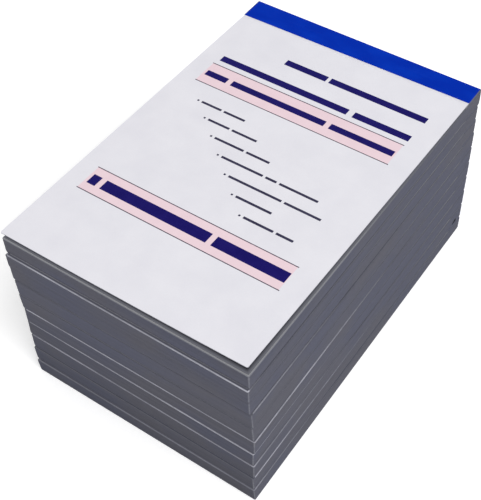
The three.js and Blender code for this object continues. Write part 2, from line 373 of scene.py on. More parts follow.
@dataclass(frozen=True)
class PaperFinish(Finish):
    """Uncoated paper or card: a faint cloudiness, short fibres and a dry surface."""

    colour: Colour
    cloud: Colour
    roughness: float = 0.62
    fibre_mm: float = 0.22
    fibre_depth_mm: float = 0.004
    fibre_run: Triple = (1.0, 0.45, 1.0)
    cloud_mm: float = 9.0
    cloud_range: Pair = (0.5, 1.0)
    uneven: float = 0.06
    specular: ClassVar[float] = 0.2

    def paint(self, surface: Surface) -> None:
        """Paints bare paper."""
        surface.set(Base_Color=self.paper(surface))

    def paper(self, surface: Surface) -> Value:
        """Adds the fibres and cloudiness to a surface.

        Args:
            surface: the material's tree.

        Returns:
            The paper's colour.
        """
        cloud = surface.noise(1000 / self.cloud_mm, 3.0)
        fibres = surface.noise(1000 / self.fibre_mm, 3.0, self.fibre_run)
        limits = (self.roughness - self.uneven, self.roughness + self.uneven)
        surface.set(Roughness=fibres.remap(*CORE, *limits))
        surface.relief(fibres, self.fibre_depth_mm)
        return (cloud + fibres * 0.5).remap(*self.cloud_range).mix(self.colour, self.cloud)


@dataclass(frozen=True)
class LeafFinish(PaperFinish):
    """Form paper that carbon has greyed along its three open edges, darker towards the spine."""

    roughness: float = 0.75
    fibre_mm: float = 0.16
    fibre_depth_mm: float = 0.003
    smudge: Colour = (132, 133, 140)
    spine_smudge: Colour = (105, 106, 115)
    smudge_mm: Pair = (0.15, 0.9)
    fade_mm: Pair = (48.0, 84.0)

    def paint(self, surface: Surface) -> None:
        """Paints the leaf from each point's place on the flat sheet.

        Args:
            surface: the material's tree.
        """
        off_side, off_end = surface.from_edges()
        rim = off_side.math("MINIMUM", off_end).remap(*self.smudge_mm, 1.0, 0.0)
        grey = off_end.remap(*self.fade_mm).mix(self.smudge, self.spine_smudge)
        surface.set(Base_Color=rim.mix(self.paper(surface), grey))


@dataclass(frozen=True)
class CardRimTone:
    """How pale the rim of a cover is painted, from 0 for grey to 1 for white; the grey is partly carbon marks
    and partly painted shade.

    The free end and the start of the long sides have a share each; the long sides lose theirs
    towards the spine over a reach in millimetres.
    """

    end: float = 0.0
    side: float = 0.0
    reach: float = 10.0
    pale: Colour = (205, 205, 216)
    # grey of the cut edge: partly carbon marks, partly painted shade
    grey: Colour = (101, 102, 114)
    # painted shade: the card's rim band under the book above
    shaded_ledge: Colour = (86, 87, 97)
    end_mm: Pair = (0.7, 0.9)
    side_from_mm: float = 1.0
    smears: float = 70.0
    smear_run: Triple = (1.0, 1.0, 6.0)
    specks: float = 700.0
    speck_share: float = 0.4
    smear_range: tuple[float, ...] = (0.5, 0.85, 1.15, 0.6)

    def pale_share(self, surface: Surface, off_end: Value) -> Value:
        """Says how pale the rim is painted at a point.

        Args:
            surface: the shader tree that asks.
            off_end: how far the point lies from the card's free end.

        Returns:
            The share, uneven along the rim.
        """
        on_end = off_end.remap(*self.end_mm, 1.0, 0.0)
        fade = off_end.remap(self.side_from_mm, self.reach, self.side, 0.0)
        smears = surface.noise(self.smears, 3.0, self.smear_run)
        uneven = smears + surface.noise(self.specks) * self.speck_share
        return (on_end * (self.end - self.side) + fade) * uneven.remap(*self.smear_range)


@dataclass(frozen=True)
class RimmedCardFinish(PaperFinish):
    """Card in the pile: its rim is painted darker as painted shade from the book above, but for a pale line
    along its very edge.
    """

    rim_tone: CardRimTone = CardRimTone()
    inset: Pair = (0.0, 0.0)
    line_mm: Pair = (0.2, 0.4)
    rim_mm: Pair = (0.8, 1.6)
    specular: ClassVar[float] = 0.15

    def paint(self, surface: Surface) -> None:
        """Paints the card from each point's place on the flat sheet.

        Args:
            surface: the material's tree.
        """
        off_side, off_end = surface.from_edges(self.inset)
        off_rim = off_side.math("MINIMUM", off_end)
        pale_line = off_rim.remap(*self.line_mm, 1.0, 0.0) * self.rim_tone.pale_share(surface, off_end)
        # painted shade: near its edge the card turns to the shaded ledge colour
        rim = off_rim.remap(*self.rim_mm, 1.0, 0.0)
        surface.set(Base_Color=rim.mix(self.paper(surface), pale_line.mix(self.rim_tone.shaded_ledge, self.rim_tone.pale)))


@dataclass(frozen=True)
class InkFinish(Finish):
    """Printing ink laid on card: it sinks into the fibres and is a little uneven."""

    colour: Colour
    thin: Colour
    grain: float = 4200.0
    patches: float = 260.0
    thin_range: Pair = (0.8, 1.3)
    depth_mm: float = 0.003
    roughness: ClassVar[float] = 0.5
    specular: ClassVar[float] = 0.08

    def paint(self, surface: Surface) -> None:
        """Paints grain and patches.

        Args:
            surface: the material's tree.
        """
        grain = surface.noise(self.grain, 3.0)
        share = (grain + surface.noise(self.patches)).remap(*self.thin_range)
        surface.set(Base_Color=share.mix(self.colour, self.thin))
        surface.relief(grain, self.depth_mm)


@dataclass(frozen=True)
class CardEdgeFinish(Finish):
    """The cut edge of a white card: pale in places, grey elsewhere; the grey is partly carbon marks and
    partly painted shade.
    """

    rim_tone: CardRimTone
    inset: Pair
    depth_mm: float = 0.006
    roughness: ClassVar[float] = 0.75

    def paint(self, surface: Surface) -> None:
        """Paints the edge by how clean it is.

        Args:
            surface: the material's tree.
        """
        share = self.rim_tone.pale_share(surface, surface.from_edges(self.inset)[1])
        surface.set(Base_Color=share.mix(self.rim_tone.grey, self.rim_tone.pale))
        surface.relief(share, self.depth_mm)


@dataclass(frozen=True)
class LeafEdgeFinish(Finish):
    """The cut edges of a pad of thin carbon-copy leaves: dark, in fine bands, pale at the corners, partly
    from wear and partly as a painted highlight.

    The shade gains are painted shade: the free end darker towards its foot, and the long sides darker. The
    dark spot is a small dark mark painted on the edges.
    """

    blue: Colour = (98, 100, 116)
    neutral: Colour = (103, 103, 113)
    # pale corner colour: partly wear, partly a painted highlight
    worn: Colour = (140, 141, 149)
    band_depth: float = 0.1
    foot_shade_gain: float = 0.74
    foot_height: float = 45.0
    side_shade_gain: float = 0.955
    worn_highlight_mm: Pair = (0.25, 0.65)
    dark_spot: Triple = (44.8, 63.3, 7.5)
    dark_spot_mm: Pair = (1.08, 1.8)
    dark_spot_tone: Colour = (10, 10, 14)
    dark_spot_run: Triple = (0.2, 1.0, 1.0)
    patches: float = 34.0
    patch_run: Triple = (1.0, 1.0, 1.6)
    patch_range: Pair = (0.4, 0.6)
    band_run: Triple = (9.0, 9.0, 1300.0)
    band_range: Pair = (0.35, 0.9)
    leaf_share: float = 0.25
    corner_mm: Pair = (0.3, 0.5)
    mark_share: float = 0.9
    depth_mm: float = 0.003
    roughness: ClassVar[float] = 0.75

    def paint(self, surface: Surface) -> None:
        """Paints the edges from each leaf's own number and place.

        Args:
            surface: the material's tree.
        """
        patches = surface.noise(self.patches, 3.0, self.patch_run)
        base = patches.remap(*self.patch_range).mix(self.blue, self.neutral)
        number = surface.attribute("leaf_number", "Fac")
        own_tone = surface.add("ShaderNodeTexWhiteNoise", {"W": number}, "Value", noise_dimensions="1D")
        bands = surface.noise(1.0, 3.0, self.band_run)
        tone = own_tone * self.leaf_share + bands
        tone = tone.remap(*self.band_range, 1 - self.band_depth, 1 + self.band_depth)
        side, end = surface.from_edges()
        # painted shade: the free end darker towards its foot, the long sides darker all over
        foot = surface.place.parts()[2].remap(0.0, self.foot_height * MM, self.foot_shade_gain, 1.0)
        shade_gain = end.remap(*self.corner_mm, foot, self.side_shade_gain)
        # partly wear, partly painted highlight: the leaves' corners turn pale
        worn_highlight = (side.math("MAXIMUM", end) + bands * 0.5).remap(*self.worn_highlight_mm, self.mark_share, 0.0)
        edge = worn_highlight.mix(base * (shade_gain * tone), self.worn)
        # a small dark spot painted on the edges, low on the right side near the rear
        away = (surface.place - tuple(Vector(self.dark_spot) * MM)) * self.dark_spot_run
        reach = away.math("LENGTH").other("Value")
        dark_spot = reach.remap(*(r * MM for r in self.dark_spot_mm), self.mark_share, 0.0)
        surface.set(Base_Color=dark_spot.mix(edge, self.dark_spot_tone))
        surface.relief(own_tone, self.depth_mm)


@dataclass(frozen=True)
class TapeFinish(Finish):
    """Royal blue binding tape: a close cloth grain under a satin coat."""

    colour: Colour = (0, 44, 168)
    worn: Colour = (2, 52, 178)
    end: Colour = (106, 108, 122)
    end_mm: Pair = (0.2, 0.45)
    thread_mm: float = 0.32
    weave_share: float = 0.08
    crepe: float = 1500.0
    crepe_gloss: Pair = (0.5, 0.62)
    cloud: float = 90.0
    cloud_run: Triple = (1.0, 2.0, 2.0)
    cloud_range: Pair = (0.42, 0.72)
    depth_mm: float = 0.006
    roughness: ClassVar[float] = 0.55
    specular: ClassVar[float] = 0.025

    def paint(self, surface: Surface) -> None:
        """Paints the grain, which runs across and along the tape, and round the spine.

        Args:
            surface: the material's tree.
        """
        x, y, z = surface.place.parts()
        turn = 2 * math.pi / (self.thread_mm * MM)
        weave = (x * turn).math("SINE") * ((y - z) * turn).math("SINE")
        crepe = surface.noise(self.crepe, 3.0)
        cloud = surface.noise(self.cloud, 2.0, self.cloud_run)
        blue = (cloud + weave * self.weave_share).remap(*self.cloud_range).mix(self.colour, self.worn)
        rim = surface.from_edges()[0].remap(*self.end_mm, 1.0, 0.0)
        surface.set(Base_Color=rim.mix(blue, self.end), Roughness=crepe.remap(*CORE, *self.crepe_gloss))
        surface.relief(weave * 0.4 + crepe, self.depth_mm)


@dataclass(frozen=True)
class CarbonFinish(Finish):
    """Carbon paper: its coated side is blue-black and waxy, its back dark grey and paler at the rim; the dark
    just inside the rim is partly painted shade from the cover's edge.
    """

    colour: Colour
    rubbed: Colour
    rim: Colour
    roughness: float
    rim_mm: Pair = (0.4, 1.9)
    rubs: float = 70.0
    rub_run: Triple = (1.0, 0.5, 1.0)
    rub_range: Pair = (0.42, 0.68)
    rub_gloss: Pair = (-0.08, 0.12)
    crease_run: Triple = (30.0, 260.0, 30.0)
    depth_mm: float = 0.02
    specular: ClassVar[float] = 0.3

    def paint(self, surface: Surface) -> None:
        """Paints rubbed patches and long faint creases.

        Args:
            surface: the material's tree.
        """
        rubs = surface.noise(self.rubs, 5.0, self.rub_run)
        off_side, off_end = surface.from_edges()
        # partly painted shade: the back darkens inward from the rim, under the cover's edge
        rim = off_side.math("MINIMUM", off_end).remap(*self.rim_mm, 1.0, 0.0)
        base = rubs.remap(*self.rub_range).mix(self.colour, self.rubbed)
        gloss = rubs.remap(*CORE, *(self.roughness + change for change in self.rub_gloss))
        surface.set(Base_Color=rim.mix(base, self.rim), Roughness=gloss)
        surface.relief(surface.noise(1.0, 2.0, self.crease_run), self.depth_mm)


@dataclass(frozen=True)
class ChipboardFinish(Finish):
    """Grey chipboard made of waste paper, with long fibres and flecks; carbon has dulled its rim."""

    colour: Colour = (120, 116, 112)
    clump: Colour = (92, 90, 90)
    pale: Colour = (150, 147, 142)
    rim: Colour = (103, 104, 115)
    rim_at: Pair = (43.6, 66.9)
    rim_mm: float = 1.2
    clumps: float = 420.0
    clump_range: Pair = (0.4, 0.62)
    flecks: float = 900.0
    fleck_range: tuple[float, ...] = (0.0, 0.16, 0.8, 0.0)
    fibre_run: Triple = (700.0, 2600.0, 2600.0)
    depth_mm: float = 0.02
    roughness: ClassVar[float] = 0.85
    specular: ClassVar[float] = 0.2

    def paint(self, surface: Surface) -> None:
        """Paints clumps, pale flecks and the rim.

        Args:
            surface: the material's tree.
        """
        base = surface.noise(self.clumps, 3.0).remap(*self.clump_range).mix(self.colour, self.clump)
        given = {"Vector": surface.place, "Scale": self.flecks}
        flecks = surface.add("ShaderNodeTexVoronoi", given, "Distance")
        board = flecks.remap(*self.fleck_range).mix(base, self.pale)
        x, y, _ = surface.place.parts()
        past = (abs(x) - self.rim_at[0] * MM).math("MAXIMUM", y * -1.0 - self.rim_at[1] * MM)
        surface.set(Base_Color=past.remap(-self.rim_mm * MM, 0.0).mix(board, self.rim))
        surface.relief(surface.noise(1.0, 4.0, self.fibre_run), self.depth_mm)


@dataclass(frozen=True)
class WireFinish(Finish):
    """Bright drawn staple wire with marks along its length."""

    colour: Colour = (196, 198, 202)
    dull: Colour = (150, 152, 158)
    mark_run: Triple = (300.0, 6000.0, 3000.0)
    mark_gloss: Pair = (0.22, 0.42)
    depth_mm: float = 0.002
    roughness: ClassVar[float] = 0.3
    specular: ClassVar[float] = 0.5
    metallic: ClassVar[float] = 1.0

    def paint(self, surface: Surface) -> None:
        """Paints the marks that drawing has left.

        Args:
            surface: the material's tree.
        """
        marks = surface.noise(1.0, 3.0, self.mark_run)
        gloss = marks.remap(*CORE, *self.mark_gloss)
        surface.set(Base_Color=marks.mix(self.colour, self.dull), Roughness=gloss)
        surface.relief(marks, self.depth_mm)


@dataclass(frozen=True)
class FloorFinish(Finish):
    """The studio's pale floor, which looks white to the camera where no shadow falls."""

    pale: tuple[float, ...] = (0.55, 0.55, 0.56, 1.0)
    white: tuple[float, ...] = (1.0, 1.0, 1.0, 1.0)
    glow: float = 0.25
    roughness: ClassVar[float] = 0.9
    specular: ClassVar[float] = 0.0

    def paint(self, surface: Surface) -> None:
        """Paints the floor by the kind of ray that sees it.

        Args:
            surface: the material's tree.
        """
        seen = surface.add("ShaderNodeLightPath", output="Is Camera Ray")
        surface.set(Base_Color=seen.mix(self.pale, self.white), Emission_Color=self.white,
                    Emission_Strength=seen.remap(0.0, 1.0, 0.0, self.glow))


class Stock(Enum):
    """Every finish of the pile that several pieces share."""

    CARD = PaperFinish("white_card", (229, 228, 234), (223, 222, 229))
    CARD_BACK = PaperFinish("white_card_inside", (222, 221, 222), (212, 211, 212), 0.7)
    PINK = InkFinish("pale_pink_ink", (235, 211, 218), (231, 206, 214))
    RULE = InkFinish("dark_rule_ink", (62, 52, 70), (84, 74, 90))
    NAVY = InkFinish("navy_ink", (14, 6, 88), (24, 16, 98))
    BLACK = InkFinish("grey_black_ink", (48, 46, 70), (60, 58, 82))
    FORM_LINE = InkFinish("form_ruling_ink", (96, 108, 146), (112, 124, 160))
    LEAF_EDGES = LeafEdgeFinish("leaf_cut_edges")
    PAD_LEAF = LeafFinish("white_form_paper_in_pad", (240, 239, 233), (233, 232, 226),
                          smudge=(100, 101, 110), spine_smudge=(101, 102, 112))
    WHITE_LEAF = LeafFinish("white_form_paper", (240, 239, 233), (233, 232, 226))
    YELLOW_LEAF = LeafFinish("canary_form_paper", (243, 229, 158), (237, 222, 148))
    PINK_LEAF = LeafFinish("pink_form_paper", (240, 196, 206), (234, 188, 199))
    TAPE = TapeFinish("blue_binding_tape")
    CARBON_BACK = CarbonFinish("carbon_back", (34, 34, 42), (46, 46, 54), (104, 105, 113), 0.65)
    CARBON_COAT = CarbonFinish("carbon_coat", (26, 28, 44), (40, 42, 60), (30, 32, 48), 0.28)
    BOARD = ChipboardFinish("grey_chipboard")
    WIRE = WireFinish("staple_wire")

    @property
    def material(self) -> Material:
        """The finish's material."""
        return self.value.material()


class CoverRims(Enum):
    """How pale each cover's rim is painted, by the book's number; the grey is partly carbon marks and partly
    painted shade.
    """

    BOOK_01 = CardRimTone(0.9, 0.3, 120.0)
    BOOK_02 = CardRimTone(0.72, 0.15, 8.0)
    BOOK_03 = CardRimTone(0.15, 0.0, 10.0)
    BOOK_04 = CardRimTone(0.05, 0.5, 50.0)
    BOOK_05 = CardRimTone(0.05, 0.25, 30.0)
    BOOK_06 = CardRimTone(0.75, 0.85, 85.0)
    BOOK_07 = CardRimTone(0.75, 0.5, 60.0)
    BOOK_08 = CardRimTone(0.52, 0.45, 60.0)
    BOOK_09 = CardRimTone(0.0, 0.7, 85.0)
    BOOK_10 = CardRimTone(0.25, 0.45, 50.0)

    def face(self, inset: Pair) -> Material:
        """Builds the finish of the card's face.

        Args:
            inset: how far the card's side and free end stop short of the leaves'.

        Returns:
            The material; the top book's has no painted rim, as no book lies on it.
        """
        if self is CoverRims.BOOK_01:
            return Stock.CARD.material
        card = Stock.CARD.value
        name = f"{card.name}_{self.name.lower()}"
        return RimmedCardFinish(name, card.colour, card.cloud, rim_tone=self.value, inset=inset).material()

    def edge(self, inset: Pair) -> Material:
        """Builds the finish of the card's cut edge."""
        return CardEdgeFinish(f"card_edge_{self.name.lower()}", self.value, inset).material()


def new_mesh(name: str, points: list, faces: list, *finishes: Material) -> Mesh:
    """Makes a mesh of points and faces, with its finishes.

    Args:
        name: the mesh's name.
        points: its points.
        faces: each face's points, by number.
        finishes: its finishes, by slot.

    Returns:
        The mesh.
    """
    mesh = bpy.data.meshes.new(name)
    mesh.from_pydata(points, [], faces)
    for finish in finishes:
        mesh.materials.append(finish)
    return mesh


def new_object(name: str, data: bpy.types.ID) -> Piece:
    """Links an object for a mesh, a lamp or a camera into the scene.

    Args:
        name: the object's name.
        data: its mesh, lamp or camera.

    Returns:
        The object.
    """
    made = bpy.data.objects.new(name, data)
    bpy.context.scene.collection.objects.link(made)
    return made


def quads(rows: int, count: int, closed: bool = False) -> list[tuple[int, ...]]:
    """Joins rows of points into four-sided faces.

    Args:
        rows: the number of rows.
        count: the number of points in each.
        closed: whether each row is a ring.

    Returns:
        The faces, row by row.
    """
    sides = [(i, (i + 1) % count) for i in range(count if closed else count - 1)]
    return [(row + a, row + b, row + count + b, row + count + a)
            for row in range(0, (rows - 1) * count, count) for a, b in sides]


def keep_flat_place(mesh: Mesh, places: list) -> None:
    """Stores where each point lies on the flat sheet, for finishes that follow its edges."""
    kept = mesh.attributes.new("flat_place", "FLOAT_VECTOR", "POINT")
    kept.data.foreach_set("vector", [value for place in places for value in place])


@dataclass(frozen=True)
class BookPlace:
    """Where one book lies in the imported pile, and how its leaves and cover have slipped."""

    number: int
    nodes: dict[str, Piece]
    origin: Vector
    turn: float
    thickness: float
    leaves_top: float
    lean: Pair
    cover_front_y: float
    cover_shift: float

    @classmethod
    def read(cls, number: int, nodes: dict[str, Piece]) -> "BookPlace":
        """Reads a book's place from its CAD nodes.

        Args:
            number: the book's number, from 1 at the top.
            nodes: the frame's CAD nodes by name.

        Returns:
            The book's place.
        """
        def points(piece: str) -> list[Vector]:
            """Lists the points of one of the book's pieces, in millimetres."""
            return [v.co / MM for v in nodes[f"book_{number:02d}_{piece}"].data.vertices]

        board = points("back_board")
        left, right = corner_of(board, -1, -1), corner_of(board, 1, -1)
        turn = math.atan2(right.y - left.y, right.x - left.x)
        rotation = Matrix.Rotation(turn, 3, "Z")
        origin = (left + right) / 2 - rotation @ Vector((0, SIZES.free_y + SIZES.board_inset, 0))
        origin.z = min(p.z for p in board)

        def own(piece: str) -> list[Vector]:
            """Lists a piece's points in the book's own frame."""
            return [rotation.inverted() @ (p - origin) for p in points(piece)]

        leaves = [p for p in own("leaves") if p.y < SIZES.free_y + FREE_ZONE]
        leaves_top = max(p.z for p in leaves)
        top_left = min((p for p in leaves if p.z > leaves_top - SAME_LEVEL), key=lambda p: p.x)
        cover_left = corner_of(own("front_cover"), -1, -1)
        half = SIZES.leaf_width / 2
        return cls(
            number=number, nodes=nodes, origin=origin, turn=turn,
            thickness=max(p.z for p in points("spine_tape")) - origin.z,
            leaves_top=leaves_top,
            lean=(top_left.x + half, SIZES.free_y - top_left.y),
            cover_front_y=cover_left.y,
            cover_shift=cover_left.x + half - SIZES.cover_trim,
        )

    @property
    def body(self) -> str:
        """The CAD body that the book's bound pieces ride on."""
        return f"book_{self.number:02d}"

    @property
    def opens(self) -> bool:
        """Whether this is the book on top, whose cover and first leaves turn."""
        return self.number == TOP_BOOK

    @property
    def bound_top(self) -> float:
        """The level of the leaves' upper side under the tape."""
        return self.thickness - SIZES.tape_thickness - SIZES.cover_thickness - 2 * SIZES.air

    @property
    def matrix(self) -> Matrix:
        """Turns the book's own millimetres into the row frame's metres."""
        moved = Matrix.Translation(self.origin) @ Matrix.Rotation(self.turn, 4, "Z")
        return Matrix.Scale(MM, 4) @ moved

    def name(self, piece: str) -> str:
        """Names one of the book's pieces or CAD nodes."""
        return f"{self.body}_{piece}"

    def levels(self, piece: str) -> Pair:
        """Gives the lowest and highest level of a CAD node, above the pile's foot."""
        heights = [v.co.z / MM for v in self.nodes[self.name(piece)].data.vertices]
        return min(heights), max(heights)

    def put(self, piece: str, mesh: Mesh, matrix: Matrix, slot: str, *nodes: str) -> Piece:
        """Makes a finished mesh a piece of the book, which rides on nothing yet.

        Args:
            piece: its name within the book.
            mesh: its mesh.
            matrix: what turns the mesh into the row frame's metres.
            slot: not used.
            nodes: the CAD nodes within the book that it stands for.

        Returns:
            The piece.
        """
        mesh.transform(matrix)
        made = new_object(self.name(piece), mesh)
        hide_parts(*(self.name(node) for node in nodes))
        return made

    def turn_on_crease(self, sheet: Piece, body: str, reach: float) -> None:
        """Works out the ends of the crease and bakes the sheet's place into its mesh; the sheet is not bent.

        Args:
            sheet: the finished sheet.
            body: not used.
            reach: how far in front of the tape's edge the worked-out end lies.
        """
        start = Vector((0.0, SIZES.crease_y, self.thickness))
        end = start + Vector((SIZES.skew, -1.0, 0.0)).normalized() * reach
        self.body
        tuple(self.matrix @ start)
        tuple(self.matrix @ end)
        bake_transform(sheet)


class NodeMaker(Graph):
    """A Geometry Nodes tree with named inputs, run over a mesh to give a plain mesh."""

    def __init__(self, name: str, **inputs: tuple[str, ...]) -> None:
        """Starts the tree.

        Args:
            name: the tree's name.
            inputs: the names of its inputs, by their type.
        """
        super().__init__(bpy.data.node_groups.new(name, "GeometryNodeTree"))
        ports = self.tree.interface
        ports.new_socket("Geometry", in_out="INPUT", socket_type="NodeSocketGeometry")
        ports.new_socket("Geometry", in_out="OUTPUT", socket_type="NodeSocketGeometry")
        self.keys = {key: ports.new_socket(key, in_out="INPUT", socket_type=f"NodeSocket{kind}").identifier
                     for kind, keys in inputs.items() for key in keys}
        self.inlet = self.tree.nodes.new("NodeGroupInput")

    def __getitem__(self, name: str) -> Value:
        """Gives a named input."""
        return Value(self, self.inlet.outputs[name])

    def xyz(self, x: object = 0.0, y: object = 0.0, z: object = 0.0) -> Value:
        """Combines three numbers into a vector."""
        return self.add("ShaderNodeCombineXYZ", {0: x, 1: y, 2: z})

    def wander(self, place: Value, detail: float) -> Value:
        """Adds a smooth level vector that wanders round zero from place to place."""
        return (place.noise(1.0, detail, 1) - MIDDLE) * (2.0, 2.0, 0.0)

    def store(self, geometry: Value, name: str, value: Value, kind: str, domain: str) -> Value:
        """Stores a value as a named attribute and returns the geometry."""
        given = {"Geometry": geometry, "Name": name, "Value": value}
        return self.add("GeometryNodeStoreNamedAttribute", given, data_type=kind, domain=domain)

    def read(self, name: str, kind: str) -> Value:
        """Reads a named attribute."""
        return self.add("GeometryNodeInputNamedAttribute", {"Name": name}, data_type=kind)

    def raised(self, mesh: Value, rise: Value) -> Value:
        """Extrudes a surface upwards in one piece; the node's Top and Side choose the new faces."""
        return self.add("GeometryNodeExtrudeMesh", {
            "Mesh": mesh, "Offset": self.xyz(z=rise), "Offset Scale": 1.0, "Individual": False})

    def sealed(self, *parts: Value) -> Value:
        """Joins meshes and merges their doubles.

        Args:
            parts: the meshes.

        Returns:
            The closed mesh.
        """
        both = self.tree.nodes.new("GeometryNodeJoinGeometry")
        for part in parts:
            self.tree.links.new(part.socket, both.inputs[0])
        joined = Value(self, both.outputs[0])
        return self.add("GeometryNodeMergeByDistance", {"Geometry": joined, "Distance": WELD})

    def dressed(self, geometry: Value, finish: str, selection: object = True) -> Value:
        """Gives the chosen faces the finish of a named input."""
        return self.add("GeometryNodeSetMaterial", {
            "Geometry": geometry, "Selection": selection, "Material": self[finish]})

    def end(self, geometry: Value, **finishes: object) -> None:
        """Ends the tree in Realize Instances and Set Material.

        Args:
            geometry: what the tree has made.
            finishes: what each finish covers, by the material input's name with underscores.
        """
        made = self.add("GeometryNodeRealizeInstances", {"Geometry": geometry})
        for name, selection in finishes.items():
            made = self.dressed(made, name.replace("_", " "), selection)
        self.give(self.tree.nodes.new("NodeGroupOutput").inputs[0], made)

    def run(self, name: str, mesh: Mesh, values: dict[str, object]) -> Mesh:
        """Runs the tree over a mesh.

        Args:
            name: the name of the result.
            mesh: the tree's input geometry.
            values: the named inputs.

        Returns:
            The result as a plain mesh.
        """
        holder = new_object(f"{name}_holder", mesh)
        modifier = holder.modifiers.new(self.tree.name, "NODES")
        modifier.node_group = self.tree
        for key, value in values.items():
            modifier[self.keys[key]] = value
        graph = bpy.context.evaluated_depsgraph_get()
        made = bpy.data.meshes.new_from_object(holder.evaluated_get(graph), depsgraph=graph)
        made.name = name
        holder.modifiers.remove(modifier)
        bpy.data.objects.remove(holder)
        return made


class LeafPadMaker(NodeMaker):
    """Stacks thin leaves from one blank, each slipped a little, with its place kept for its finish.

    The drift and the ripple change by so much from leaf to leaf, and the ripple by so much for each
    millimetre. The bound end is a share of the leaf's length.
    """

    leaf_drift: ClassVar[float] = 0.09
    leaf_shake: ClassVar[float] = 0.1
    leaf_ripple: ClassVar[float] = 0.12
    ripple_scale: ClassVar[float] = 0.05
    seed_step: ClassVar[float] = 7.3
    bound_end: ClassVar[Pair] = (0.045, 0.062)

    def __init__(self) -> None:
        """Builds the tree."""
        super().__init__(
            "leaf_pad", Int=("Leaf Count", "Seed"), Material=("Face Finish", "Edge Finish"),
            Float=("Pitch", "Leaf Thickness", "Half Length", "Lean X", "Lean Y", "Slip", "Ripple",
                   "Rear Rise"))
        raised = self.raised(self["Geometry"], self["Leaf Thickness"])
        under = self.add("GeometryNodeFlipFaces", {"Mesh": self["Geometry"]})
        leaf = self.store(self.sealed(raised, under), "is_edge", raised.other("Side"), "BOOLEAN", "FACE")
        leaf = self.store(leaf, "flat_place", self.add("GeometryNodeInputPosition"), "FLOAT_VECTOR", "POINT")
        step = self.xyz(z=self["Pitch"])
        rows = self.add("GeometryNodeMeshLine", {"Count": self["Leaf Count"], "Offset": step})
        placed = self.add("GeometryNodeInstanceOnPoints", {"Points": rows, "Instance": leaf})
        number = self.add("GeometryNodeInputIndex")
        numbered = self.store(placed, "leaf_number", number, "FLOAT", "INSTANCE")
        slipped = self.add("GeometryNodeTranslateInstances", {
            "Instances": numbered, "Translation": self._slip(number)})
        pad = self.add("GeometryNodeRealizeInstances", {"Geometry": slipped})
        self.end(self._settle(pad), Face_Finish=True, Edge_Finish=self.read("is_edge", "BOOLEAN"))

    def _slip(self, number: Value) -> Value:
        """Gives each leaf a slip that drifts through the pad, with a little of its own.

        Args:
            number: the leaf's number in its pad.

        Returns:
            How far the leaf has slipped.
        """
        drift = self.wander(self.xyz(number * self.leaf_drift, self["Seed"] * self.seed_step), 1.5)
        least, most = ((way * self.leaf_shake, way * self.leaf_shake, 0.0) for way in (-1, 1))
        given = {0: least, 1: most, "Seed": self["Seed"]}
        shake = self.add("FunctionNodeRandomValue", given, data_type="FLOAT_VECTOR")
        return (drift + shake) * self["Slip"]

    def _settle(self, pad: Value) -> Value:
        """Leans the pad towards its free end, lifts its bound end and ripples the cut edges.

        Args:
            pad: the straight stack of leaves.

        Returns:
            The settled stack.
        """
        x, y, _ = self.add("GeometryNodeInputPosition").parts()
        leaf, half = self.read("leaf_number", "FLOAT"), self["Half Length"]
        share = leaf / self["Leaf Count"]
        free = (half - y) / (half * 2.0)
        bound = free.remap(*self.bound_end, 1.0, 0.0)
        level = leaf * self.leaf_ripple + self["Seed"]
        ripple_at = self.xyz(x * self.ripple_scale, y * self.ripple_scale, level)
        ripple = self.wander(ripple_at, 2.0) * self["Ripple"]
        lean = share * free
        rise = self["Rear Rise"] * share * bound
        moved = self.xyz(self["Lean X"] * lean, self["Lean Y"] * lean * -1.0, rise)
        return self.add("GeometryNodeSetPosition", {"Geometry": pad, "Offset": moved + ripple})


@dataclass(frozen=True)
class Perforation:
    """The tear-off line: where it runs in front of the tape, its pitch and its slots."""

    from_tape: ClassVar[float] = 3.2
    row_y: float = SIZES.crease_y - SIZES.tape_skew / 2 - from_tape
    pitch: float = 1.5
    slot_length: float = 0.95
    slot_width: float = 0.14
    count: int = 58

    @property
    def half_run(self) -> float:
        """Half the length from the first slot's start to the last slot's end."""
        return ((self.count - 1) * self.pitch + self.slot_length) / 2

    def columns(self) -> list[float]:
        """Lists where the slots begin and end across the sheet."""
        starts = [-self.half_run + i * self.pitch for i in range(self.count)]
        return [x for start in starts for x in (start, start + self.slot_length)]

    def rows(self) -> list[float]:
        """Lists the two long sides of the slots, if there are any."""
        return [self.row_y + side * self.slot_width / 2 for side in (-1, 1) if self.count]


UNCUT = Perforation(count=0)


